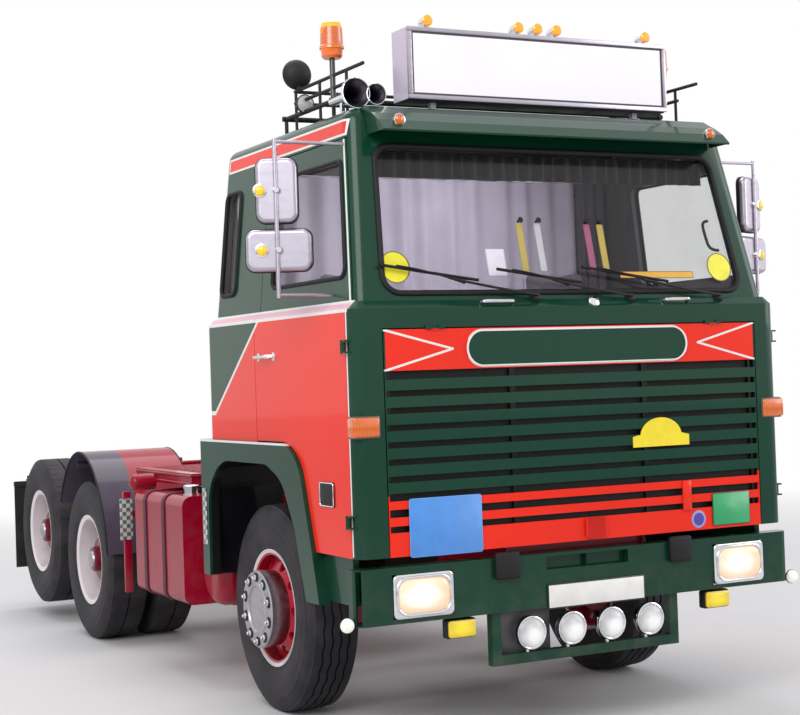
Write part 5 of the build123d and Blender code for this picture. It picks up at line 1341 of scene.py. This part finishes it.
def settle(holder, steps):
    """Runs the cloth solver, and returns the settled mesh."""
    for step in range(1, steps + 1):
        bpy.context.scene.frame_set(step)
    mesh = evaluated(holder)
    bpy.context.scene.frame_set(1)
    return mesh


def stuffed(low, high, bevel, voxel, pressure=4.0):
    """A block of foam in its cover: a block with round edges, blown up by the cloth solver."""
    low, high = Vector(low) + BACK * FACE, Vector(high) + BACK * FACE
    inset = Vector((COVER_INSET, COVER_INSET, COVER_INSET))
    mesh = Shape().block(low + inset, high - inset, bevel, 4).as_mesh("cover")
    holder = working(mesh)
    remesh = holder.modifiers.new("remesh", "REMESH")
    remesh.mode = "VOXEL"
    remesh.voxel_size = voxel
    holder = working(evaluated(holder))
    cloth = holder.modifiers.new("cloth", "CLOTH")
    cloth.settings.quality = 5
    cloth.settings.tension_stiffness = 25
    cloth.settings.compression_stiffness = 25
    cloth.settings.bending_stiffness = 1.5
    cloth.settings.use_pressure = True
    cloth.settings.uniform_pressure_force = pressure
    cloth.settings.effector_weights.gravity = 0
    cloth.collision_settings.use_collision = False
    cloth.point_cache.frame_start = 1
    cloth.point_cache.frame_end = 20
    mesh = settle(holder, 20)
    centre, half = (low + high) / 2, (high - low) / 2
    for vertex in mesh.vertices:
        offset = vertex.co - centre
        for axis in range(3):
            limit = half[axis] + COVER_INSET
            offset[axis] = max(-limit, min(limit, offset[axis]))
        vertex.co = centre + offset
    return mesh


def woven(name, colour, other, scale=180.0):
    """Cloth with a fine weave, softer and paler where it is rubbed."""
    finish = Finish(name, sheen=0.25, specular=0.25)
    rubbed = finish.noise(5.0, 4.0).rise(0.35, 0.8)
    weave = finish.waves(scale, "X") * 0.5 + finish.waves(scale, "Y") * 0.5
    finish.set(colour=finish.mix(colour, other, rubbed * 0.6 + weave * 0.2), rough=0.85)
    return finish.bump(weave, 0.0006, 0.5).material


SEAT_CLOTH = woven("seat_cloth", ink(104, 94, 110), ink(132, 122, 136), 260.0)
BUNK_CLOTH = woven("bunk_cloth", ink(120, 112, 104), ink(150, 142, 132), 260.0)
cushion = stuffed(SEAT_LOW, SEAT_HIGH, 0.045, 0.008)
backrest = stuffed(BACK_LOW, BACK_HIGH, 0.045, 0.008)
for side, name in SIDES:
    shift = Matrix.Translation((side * SEAT_X, 0, 0))
    for mesh, part in ((cushion, "cushion"), (backrest, "backrest")):
        pad = Shape().add_mesh(mesh, shift)
        pad.piece(f"seat_{part}_{name}", SEAT_CLOTH, "cab", "seat_cloth", 60)
frames, seams = Shape(), Shape()
for x in (-SEAT_X, SEAT_X):
    frames.bar((x - 0.185, 0.80, FLOOR_Z + 0.150), (x + 0.185, 1.22, FLOOR_Z + 0.190), 0.008)
    foot = ((0, 0.11), (0.02, 0.105), (0.14, 0.075), (0.155, 0.075))
    frames.turned(foot, at(x, 1.01, FLOOR_Z + 0.001), steps=28)
    frames.bar((x - 0.17, 1.292, FLOOR_Z + 0.30), (x + 0.17, 1.304, FLOOR_Z + 0.90), 0.005)
    for level in (SEAT_HIGH[2] - 0.030, SEAT_LOW[2] + 0.030):
        loop = rounded_ring(at(x, 0.995, level), ACROSS, BACK, 0.207, 0.258, 0.045)
        seams.tube(loop, 0.005, closed=True, smooth=False, sides=1)
frame_piece = frames.piece("seat_frames", BLACK_PLASTIC, "cab", "frame_black")
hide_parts("seats")
seams.piece("seat_piping", BLACK_PLASTIC, "cab", "black_rubber")

mattress = stuffed(BUNK_LOW, BUNK_HIGH, 0.035, 0.016, 3.0)
piece_of(mattress, "bunk_mattress", BUNK_CLOTH, "cab", 60)
boxes = Shape().pair((0.460, 1.380, FLOOR_Z + 0.001), (1.060, 1.815, TUNNEL_TOP + 0.040), 0.006)
boxes.bar((-1.082, 1.332, TUNNEL_TOP + 0.041), (1.082, 1.824, TUNNEL_TOP + 0.058))
box_piece = boxes.piece("bunk_boxes", CAB_TRIM, "cab", "cab_trim")
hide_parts("bunk")
print("seats and bunk done")

# %% [markdown]
# ## Curtains and pelmet
# A bunk curtain, a dark panel beside it and short window curtains are gathered on steel rods, and a pelmet
# hangs inside the top of the windscreen. Each is one flat sheet whose folds the cloth solver lets settle.
# The pale bunk and window curtains carry a painted reflection of the glass in their colour, the dark panel is
# the curtain's cloth with painted shade, and the pelmet is dark cloth made near-black with painted shade.

# %% Curtains and pelmet
# The dark panel beside the curtain: the same lilac cloth painted darker, painted shade.
SIDE_PANEL_FABRIC_AND_SHADE = woven("side_panel_fabric_and_shade", ink(88, 76, 90), ink(112, 100, 112))
# Near-white for the window curtains: their cloth, brightened with a painted reflection of the side glass.
WINDOW_FABRIC_AND_REFLECTION = woven("window_fabric_and_reflection", ink(238, 234, 242), ink(246, 242, 248))
# Pale lilac for the bunk curtain: its cloth, brightened with a painted reflection of the sky on the
# windscreen.
CURTAIN_FABRIC_AND_REFLECTION = woven("curtain_fabric_and_reflection", ink(196, 184, 208), ink(214, 206, 224))
# Near-black for the pelmet: its dark cloth, with painted shade under the visor and roof.
PELMET_FABRIC_AND_SHADE = woven("pelmet_fabric_and_shade", ink(22, 12, 20), ink(44, 24, 32), 200.0)
CURTAIN_STATION, CURTAIN_TOP, CURTAIN_DROP = 1.300, 2.820, 0.98
PELMET_HALF, PELMET_TOP, PELMET_DROP = 0.985, 2.815, 0.125
SHORT_TOP, SHORT_DROP = 2.775, 0.56


def gathered(width, drop, folds, depth, columns, rows, seed):
    """A sheet with folds along its top, settled by the cloth solver.
    Returns its mesh, in its own plane at the origin, and its flat width."""
    top = []
    for i in range(columns + 1):
        t = i / columns
        wander = noise.noise(Vector((t * folds * 0.6, seed, 0))) * 0.35
        top.append((t * width, math.sin((t * folds + wander) * 2 * math.pi) * depth))
    flat = sum(math.dist(a, b) for a, b in zip(top, top[1:]))
    points, faces = [], []
    for j in range(rows + 1):
        fall = j / rows
        points += [(x, y * (0.9 + 0.2 * fall), -fall * drop) for x, y in top]
    for j in range(rows):
        for i in range(columns):
            k = j * (columns + 1) + i
            faces.append((k, k + 1, k + columns + 2, k + columns + 1))
    mesh = bpy.data.meshes.new("sheet")
    mesh.from_pydata(points, [], faces)
    holder = working(mesh)
    holder.vertex_groups.new(name="pinned").add(list(range(columns + 1)), 1.0, "REPLACE")
    cloth = holder.modifiers.new("cloth", "CLOTH")
    cloth.settings.quality = 6
    cloth.settings.vertex_group_mass = "pinned"
    cloth.settings.bending_stiffness = 0.6
    cloth.collision_settings.use_collision = False
    cloth.point_cache.frame_end = 24
    return settle(holder, 24), flat


def hang(name, finish, place, sheet, turn=0.0):
    mesh, flat = gathered(*sheet)
    mesh.transform(Matrix.Translation(place) @ Matrix.Rotation(turn, 4, "Z"))
    piece = piece_of(mesh, name, finish, "cab", 80)


def rod(name, ends, radius, finish, slot):
    Shape().tube(ends, radius, smooth=False).piece(name, finish, "cab", slot)


ends = [at(x, CURTAIN_STATION, CURTAIN_TOP + 0.004) for x in (-1.03, 1.05)]
rod("curtain_rail", ends, 0.008, CHROME, "bright_metal")
hang("curtain", CURTAIN_FABRIC_AND_REFLECTION, at(-1.03, CURTAIN_STATION, CURTAIN_TOP),
     (1.87, CURTAIN_DROP, 12, 0.020, 150, 26, 3))
hang("side_curtain", SIDE_PANEL_FABRIC_AND_SHADE, at(0.846, CURTAIN_STATION, CURTAIN_TOP),
     (0.20, CURTAIN_DROP, 3, 0.012, 40, 26, 11))
ends = [at(x, screen_station(PELMET_TOP) + 0.075, PELMET_TOP) for x in (-PELMET_HALF, PELMET_HALF)]
rod("pelmet_rail", ends, 0.006, BLACK_PLASTIC, "frame_black")
hang("pelmet", PELMET_FABRIC_AND_SHADE, ends[0], (2 * PELMET_HALF, PELMET_DROP, 26, 0.009, 156, 6, 8))
for side, name in SIDES:
    x = side * (side_half(SHORT_TOP) - 0.060)
    rail = f"window_curtain_{name}_rail"
    ends = [at(x, station, SHORT_TOP + 0.004) for station in (1.560, 1.822)]
    rod(rail, ends, 0.005, CHROME, "bright_metal")
    hang(f"window_curtain_{name}", WINDOW_FABRIC_AND_REFLECTION, at(x, 1.566, SHORT_TOP),
         (0.25, SHORT_DROP, 5, 0.010, 40, 16, 5 + side), math.radians(90))
print("curtains and pelmet done")

# %% [markdown]
# ## Steering wheel and dashboard
# The driver has a large thin-rimmed wheel with three spokes, a padded dashboard with a row of round dials
# and a long gear lever in a rubber boot. The rim is a bent bar, and the dials are one turned bezel, copied
# along a line.

# %% Steering wheel and dashboard
WHEEL_CENTRE = at(SEAT_X, 0.620, 2.040)
WHEEL_R = 0.242
COLUMN_TILT = math.radians(25)
DIAL_STEP, DIALS = 0.075, 6
DIAL = ((0, 0.0), (0, 0.030), (0.006, 0.030), (0.008, 0.027), (0.004, 0.025), (0.004, 0.0))
LEVER_BEND = ((0.20, 0.95, -0.002), (0.20, 0.94, 0.15), (0.22, 0.90, 0.30))
LEVER_BOOT = ((0, 0.075), (0.03, 0.055), (0.045, 0.050), (0.075, 0.020))
tilt = Matrix.Translation(WHEEL_CENTRE) @ Matrix.Rotation(-COLUMN_TILT, 4, "X")
turns = [k * math.pi / 24 for k in range(48)]
rim = [tilt @ Vector((WHEEL_R * math.cos(t), WHEEL_R * math.sin(t), -0.012)) for t in turns]
wheel = Shape().tube(rim, 0.0125, closed=True, smooth=False)
for angle in map(math.radians, (90, 210, 330)):
    out = Vector((math.cos(angle), math.sin(angle), 0))
    spoke = ((0.035, -0.026), (0.12, -0.028), (0.238, -0.013))
    wheel.tube([tilt @ (out * radius + UP * height) for radius, height in spoke], 0.009)
boss = ((-0.040, 0.0), (-0.040, 0.040), (-0.012, 0.060), (-0.004, 0.058), (0.002, 0.045), (0.004, 0.0))
wheel.turned(boss, WHEEL_CENTRE, (0, math.sin(COLUMN_TILT), math.cos(COLUMN_TILT)), 32)
WHEEL_PLASTIC = soft_plastic("wheel_plastic", ink(120, 116, 112), 0.3)
wheel_piece = wheel.piece("steering_rim", WHEEL_PLASTIC, "steering_wheel", "cab_trim", 50)
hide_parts("steering_wheel")

away = Vector((0, 0.120, 0.050)).normalized()
dial = Shape().turned(DIAL, steps=24).as_mesh("dial")
dial_row = copied(LINE_TREE, dial, CHROME, Count=DIALS, Step=(DIAL_STEP, 0, 0))
turn = Matrix((ACROSS, away.cross(ACROSS), away)).transposed().to_4x4()
first_dial = at(SEAT_X - DIAL_STEP * (DIALS - 1) / 2, 0.446, 1.955) + away * 0.0005
dials = Shape().add_mesh(dial_row, Matrix.Translation(first_dial) @ turn)
dials.piece("dials", CHROME, "cab", "bright_metal")
dash_pad = Shape().bar((-1.100, 0.075, 2.0405), (1.100, 0.395, 2.052), 0.005)
dash_pad.bar((0.400, 0.250, 2.0525), (0.880, 0.415, 2.078), 0.012, 3)
dash_pad.piece("dash_pad", SEAL_RUBBER, "cab", "black_rubber")
lever = Shape()
lever.tube([at(x, station, TUNNEL_TOP + up) for x, station, up in LEVER_BEND], 0.009)
knob = [(-0.028 * math.cos(t), 0.028 * math.sin(t)) for t in map(math.radians, range(0, 181, 20))]
lever.turned(knob, at(0.22, 0.895, TUNNEL_TOP + 0.315), steps=20)
lever.turned(LEVER_BOOT, at(0.20, 0.95, TUNNEL_TOP + 0.0005), steps=24)
lever.piece("gear_lever", BLACK_PLASTIC, "cab", "frame_black")
print("controls done")

# %% [markdown]
# ## Stickers and strips on the windscreen
# Round stickers, a card and hanging strips are set along the foot of the screen. All of them are blank.
# Each is a thin shape laid in the screen's own slope.

# %% Stickers and strips on the windscreen
SCREEN_UP = Vector((0, SCREEN_SLOPE, 1)).normalized()
ROUND_YELLOW, ROUND_EDGE = ink(238, 226, 40), ink(90, 96, 20)
STRIPS = (
    (-0.229, ink(232, 206, 96)), (-0.126, ink(240, 238, 244)),
    (0.163, ink(196, 92, 140)), (0.241, ink(230, 200, 84)),
)
STRIP_CUP = ((-0.004, 0.0), (-0.004, 0.006), (0.018, 0.004), (0.024, 0.015), (0.026, 0.0))
GRAB_BEND = (
    (1.010, 0.190, 2.34), (0.970, 0.215, 2.34), (0.960, 0.240, 2.42), (0.955, 0.260, 2.50),
    (0.995, 0.262, 2.50),
)


def screen_card(name, colour, edge_colour, x, z, half_x, half_z, edge, lift=-0.012, rounded=0.0):
    """A blank card in the screen's slope. A positive lift puts it outside the glass."""
    corner = rounded or 0.004
    sections = ((-0.0008, half_x, half_z, corner), (0.0008, half_x, half_z, corner))
    card = Shape().stack(on_screen(x, z, lift), sections, ACROSS, SCREEN_UP, steps=8)
    finish = plate_finish(name, colour, edge_colour, x, z, half_x, half_z, edge, rounded)
    card.piece(name, finish, "cab", "sign_white")


for side, name, x, radius in ((-1, "right", -0.955, 0.078), (1, "left", 0.915, 0.076)):
    screen_card(
        f"round_sticker_{name}", ROUND_YELLOW, ROUND_EDGE, x, 2.243, radius, radius, 0.007, 0.002, radius)
screen_card("screen_card", ink(226, 222, 232), ink(196, 190, 204), -0.400, 2.268, 0.052, 0.068, 0.005)
screen_card("amber_strip", ink(228, 168, 40), ink(120, 84, 20), 0.527, 2.205, 0.226, 0.018, 0.004)
for k, (x, colour) in enumerate(STRIPS):
    screen_card(f"hanging_strip_{k}", colour, shade(colour, 0.7), x, 2.345, 0.019, 0.122, 0.003, -0.030)
strip_cups, grab = Shape(), Shape()
for x, colour in STRIPS:
    strip_cups.turned(STRIP_CUP, on_screen(x, 2.474, -0.030), (0, -1, SCREEN_SLOPE), 16)
strip_cups.piece("strip_cups", SEAL_RUBBER, "cab", "black_rubber")
for side in (-1, 1):
    grab.tube(on_side(side, GRAB_BEND), 0.008)
grab.piece("pillar_handles", BLACK_PLASTIC, "cab", "frame_black")
print("screen cards done, all blank")

# %% [markdown]
# ## Tanks and deck
# Steel bands hold the tanks, and a filler neck stands on the fuel tank. A band is an outline of the tank, a
# little larger, with a width: four rings skinned as one hoop. The deck has raised bars that give a foot grip.

# %% Tanks and deck
tank_low, tank_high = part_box("fuel_tank")
TANK_WIDTH = 0.56
TANK_CORNER = 0.06
NECK_X, NECK_STATION = -1.085, 2.620
NECK = (
    (-0.010, 0.0), (-0.010, 0.050), (0.006, 0.050), (0.006, 0.042), (0.034, 0.042), (0.034, 0.048),
    (0.052, 0.048), (0.058, 0.040), (0.058, 0.0),
)
TREAD_BARS = 24


def band(shape, centre, half_across, half_up, corner, wide, thick):
    """A hoop round an upright rounded outline."""
    half, rings = wide / 2, []
    for along, grow in ((-half, 0.0008), (-half, thick), (half, thick), (half, 0.0008), (-half, 0.0008)):
        spot = centre + AHEAD * along
        rings.append(rounded_ring(spot, ACROSS, UP, half_across + grow, half_up + grow, corner + grow))
    shape.skin(rings, (False, False))


straps = Shape()
for station in (2.794, 3.145):
    centre = at(tank_low.x + TANK_WIDTH / 2, station, (tank_low.z + tank_high.z) / 2)
    band(straps, centre, TANK_WIDTH / 2, (tank_high.z - tank_low.z) / 2, TANK_CORNER, 0.050, 0.007)
hoop = ((-0.014, 0.1862), (-0.014, 0.190), (0.014, 0.190), (0.014, 0.1862), (-0.014, 0.1862))
for x in (-0.980, -0.640, 0.640, 0.980):
    straps.turned(hoop, at(x, 2.230, 0.640), ACROSS, 48)
straps.piece("tank_straps", STRAP_STEEL, "chassis", "iron")
neck = Shape().turned(NECK, at(NECK_X, NECK_STATION, tank_high.z), steps=32)
catch = ((0, 0.046), (0.060, 0.050), (0.080, 0.012))
neck.tube([at(NECK_X, NECK_STATION + along, tank_high.z + up) for along, up in catch], 0.004)
neck.piece("fuel_neck", CHROME, "chassis", "bright_metal")

ribs = Shape()
for z in (1.122, 1.168):
    ribs.pair((1.0505, 2.712, z), (1.057, 3.788, z + 0.014), 0.003, 1)
    ribs.bar((-1.056, 2.7035, z), (1.056, 2.7095, z + 0.014), 0.003, 1)
tread = Shape().block((-0.96, -0.004, -0.0005), (0.96, 0.004, 0.0035), 0.0015, 1).as_mesh("tread_bar")
tread_bars = copied(LINE_TREE, tread, RED_PAINT, Count=TREAD_BARS, Step=(0, 0.0435, 0))
ribs.add_mesh(tread_bars, Matrix.Translation(at(0, 2.75, 1.190)))
cap = ((0, 0.050), (0.130, 0.050), (0.150, 0.042), (0.162, 0.026), (0.166, 0.0))
ribs.turned(cap, at(-1.052, 3.420, 1.120), -ACROSS, 32)
ribs.piece("deck_ribs", RED_PAINT, "chassis", "chassis_red")
print("tanks and deck done")

# %% [markdown]
# ## Fittings along the frame
# Bolts hold the frame's brackets in two rows, chequered strips warn beside the wheels, rubber beads edge the
# mudguards, and the tail carries a bar of lamps.

# %% Fittings along the frame
BOLTS = 26
GUARD_STATION, GUARD_HALF, GUARD_RISE = 4.492, 0.600, 0.745
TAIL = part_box("frame_rails")[1].y - FACE


def chequered():
    """Pale reflecting squares in two rows on dark film."""
    finish = Finish("chequered_film", coat=0.4)
    row = (finish.z * 38.0).maths("FLOOR")
    column = ((abs(finish.x) + finish.y * 0.9) * 38.0).maths("FLOOR")
    pale = (row + column).maths("FLOORED_MODULO", 2.0) > 0.5
    grime = finish.noise(30.0, 4.0).rise(0.4, 0.8) * 0.4
    paint = finish.mix(ink(92, 100, 98), ink(198, 202, 198), pale)
    finish.set(colour=finish.mix(paint, ROAD_DUST, grime), rough=0.3 + grime * 0.4)
    return finish.bump(finish.cells(160.0), 0.0003, 0.4).material


bolt = Shape().turned(((0, 0.0), (0, 0.0125), (0.008, 0.0125), (0.010, 0.010), (0.010, 0.0)), steps=6)
bolt_row = copied(LINE_TREE, bolt.as_mesh("bolt"), IRON, Count=BOLTS, Step=(0, 0.158, 0))
rail_bolts = Shape()
for side in (-1, 1):
    for z in (0.850, 1.010):
        rail_bolts.add_mesh(bolt_row, Matrix.Translation(at(side * 0.4002, 2.200, z)) @ facing(side))
rail_bolts.piece("rail_bolts", IRON, "chassis", "iron")

CHEQUERED = chequered()
posts = Shape().pair((1.150, 3.612, 0.400), (1.200, 3.640, 1.050))
posts.pair((0.450, 3.6125, 0.880), (1.160, 3.6395, 0.930))
posts.piece("marker_posts", RED_PAINT, "chassis", "chassis_red")
boards = Shape().pair((1.145, 3.600, 0.740), (1.228, 3.6115, 1.005), 0.003)
boards.piece("marker_boards", CHEQUERED, "chassis", "sign_white")
strips = Shape().pair((1.2385, 1.935, 0.840), (1.2415, 1.995, 1.150), 0.001, 1)
strips.piece("arch_strips", CHEQUERED, "cab", "sign_white")

arc = [
    (GUARD_STATION - GUARD_HALF * math.cos(t), WHEELS["drive_left"].z + GUARD_RISE * math.sin(t) - 0.003)
    for t in map(math.radians, range(6, 151, 6))
]
beads = Shape()
for x in (-0.6005, -1.2355, 0.6005, 1.2355):
    beads.tube([at(x, station, z) for station, z in arc], 0.0065, smooth=False, sides=2)
beads.piece("guard_beads", FLAP_RUBBER, "chassis", "black_rubber", 50)

tail_bar = Shape().bar((-1.130, TAIL - 0.038, 0.955), (1.130, TAIL - 0.016, 1.015))
tail_bar.pair((0.780, TAIL - 0.0155, 0.930), (1.120, TAIL - 0.002, 1.040), 0.006)
tail_bar.piece("tail_bar", BLACK_PLASTIC, "chassis", "frame_black")
for name, glass, slot, start in (("tail_lamps", RED_LENS, "lamp_lens", 0.890),
                                 ("tail_indicators", AMBER, "amber_lens", 1.000),
                                 ("reversing_lamps", LENS_MILK, "lamp_lens", 0.790)):
    lamp = Shape().pair((start, TAIL - 0.0015, 0.940), (start + 0.100, TAIL + 0.008, 1.030), 0.006)
    lamp.piece(name, glass, "chassis", slot)
print("frame fittings done")

# %% [markdown]
# ## Rails on the roof and trim on the hatch
# A rail of two levels runs along each side of the roof and carries the beacons and work lamps.
# The hatch has short upright bars between its lowest louvres, where they are riveted together.

# %% Roof rails and hatch trim
RAIL_X, RAIL_END, RAIL_TOP = 0.98, 1.115, 3.234
rails = Shape()
for z, start in ((RAIL_TOP, 0.290), (3.172, 0.460)):
    for x in (-RAIL_X, RAIL_X):
        rails.tube([at(x, start, z), at(x, RAIL_END, z)], 0.009, smooth=False)
    rails.tube([at(-RAIL_X, RAIL_END, z), at(RAIL_X, RAIL_END, z)], 0.009, smooth=False)
for x in (-RAIL_X, RAIL_X):
    for station in (0.480, 0.800, 1.105):
        rails.tube([at(x, station, ROOF_TOP - 0.004), at(x, station, RAIL_TOP)], 0.008, smooth=False)
rails.piece("roof_rails", BLACK_PLASTIC, "cab", "frame_black")

rib = Shape().block((-1.02, -0.001, -0.018), (1.02, 0.006, 0.018), 0.0055).as_mesh("rib")
rib_rows = copied(LINE_TREE, rib, GREEN_PAINT, Count=5, Step=(0, 0, 0.16))
wall_ribs = Shape().add_mesh(rib_rows, Matrix.Translation((0, CAB_REAR, 1.52)))
wall_ribs.piece("rear_wall_ribs", GREEN_PAINT, "cab", "cab_green")
trim = Shape().bar((0.574, -0.0105, 1.015), (0.626, -0.0005, 1.165), 0.003)
trim.piece("louvre_bars", HATCH_PAINT, "front_hatch", "orange_red")
outline = ((-0.010, 1.017), (0.110, 1.017), (0.110, 0.930), (0.082, 0.914), (0.018, 0.914), (-0.010, 0.930))
louvre_step = Shape().slab([at(x, -0.0135, z) for x, z in outline], (0, 0.003, 0))
# The step's middle is a darker red: painted shade in the recessed upright, with orange-red round it.
STEP_PAINT_AND_SHADE = enamel(
    "step_paint_and_shade", lambda finish: finish.mix(ink(204, 26, 14), ORANGE_RED, abs(finish.x - 0.05) > 0.052))
louvre_step.piece("louvre_step", STEP_PAINT_AND_SHADE, "front_hatch", "orange_red")
print("rails and trim done")

# %% [markdown]
# ## Floor and sky
# The truck stands on a plain pale floor that fades into the white background far from it.
# The background is white only to camera, glossy and see-through rays. To all others it is a pale blue-grey
# sky.

# %% Floor and sky
FLOOR_COLOUR, FLOOR_PATCH = (0.72, 0.71, 0.71, 1.0), (0.66, 0.65, 0.65, 1)
WHITE = (1, 1, 1, 1)
FADE_FROM, FADE_TO = 5.5, 13.0
SKY_STRENGTH = 0.62

floor_mesh = bpy.data.meshes.new("floor")
floor_mesh.from_pydata([(-60, -60, 0), (60, -60, 0), (60, 60, 0), (-60, 60, 0)], [], [(0, 1, 2, 3)])
floor = bpy.data.objects.new("floor", floor_mesh)
bpy.context.scene.collection.objects.link(floor)
floor_finish = Finish("floor_finish", rough=0.75, specular=0.2)
floor_finish.set(colour=floor_finish.mix(FLOOR_COLOUR, FLOOR_PATCH, floor_finish.noise(2.0, 4.0)))
by_camera = floor_finish.wire("ShaderNodeLightPath")
far = length(floor_finish.x, floor_finish.y).rise(FADE_FROM, FADE_TO) * by_camera
glow = floor_finish.node("ShaderNodeEmission", {}, {"Color": WHITE, "Strength": 1.0})
fade = floor_finish.node("ShaderNodeMixShader", {}, {0: far})
floor_finish.links.new(floor_finish.shader.outputs["BSDF"], fade.inputs[1])
floor_finish.links.new(glow.outputs["Emission"], fade.inputs[2])
floor_finish.links.new(fade.outputs["Shader"], floor_finish.nodes["Material Output"].inputs["Surface"])
floor_mesh.materials.append(floor_finish.material)

world = bpy.data.worlds.new("sky")
bpy.context.scene.world = world
world.use_nodes = True
sky = world.node_tree
background = sky.nodes["Background"]
background.inputs["Color"].default_value = (0.93, 0.95, 1.0, 1.0)
background.inputs["Strength"].default_value = SKY_STRENGTH
white = sky.nodes.new("ShaderNodeBackground")
white.inputs["Color"].default_value = WHITE
path = sky.nodes.new("ShaderNodeLightPath")
blend = sky.nodes.new("ShaderNodeMixShader")
seen = path.outputs["Is Camera Ray"]
for ray in ("Is Glossy Ray", "Is Transmission Ray"):
    either = sky.nodes.new("ShaderNodeMath")
    either.operation = "MAXIMUM"
    sky.links.new(seen, either.inputs[0])
    sky.links.new(path.outputs[ray], either.inputs[1])
    seen = either.outputs["Value"]
sky.links.new(seen, blend.inputs["Fac"])
sky.links.new(background.outputs["Background"], blend.inputs[1])
sky.links.new(white.outputs["Background"], blend.inputs[2])
sky.links.new(blend.outputs["Shader"], sky.nodes["World Output"].inputs["Surface"])
bpy.context.scene.view_settings.view_transform = "Standard"
print("floor and sky done")

# %% [markdown]
# ## Lamps
# The light is that of an overcast day: one large soft lamp to the left of the camera, weaker ones to the
# right and above, and a small one inside the cab, which the real cab lacks, so that its inside can be seen.

# %% Lamps
def soft_lamp(name, place, target, size, watts, mirrored=True):
    """A large square lamp that faces target. mirrored says whether it shows in glossy surfaces."""
    light = bpy.data.lights.new(name, "AREA")
    light.size = size
    light.energy = watts
    lamp = bpy.data.objects.new(name, light)
    lamp.rotation_mode = "QUATERNION"
    lamp.rotation_quaternion = (Vector(target) - Vector(place)).to_track_quat("-Z", "Y")
    lamp.location = place
    lamp.visible_camera = False
    lamp.visible_glossy = mirrored
    bpy.context.scene.collection.objects.link(lamp)


soft_lamp("key_lamp", (-8, -9, 8), (0, 0, 1.2), 7, 820)
soft_lamp("fill_lamp", (9, -7, 5), (0, 0, 1.2), 6, 380)
soft_lamp("cab_lamp", at(-0.1, 0.42, 2.74), at(-0.35, 1.3, 2.15), 0.45, 9, mirrored=False)
soft_lamp("top_lamp", (0, 3, 10), (0, 1, 0), 8, 500)
print("lamps done")
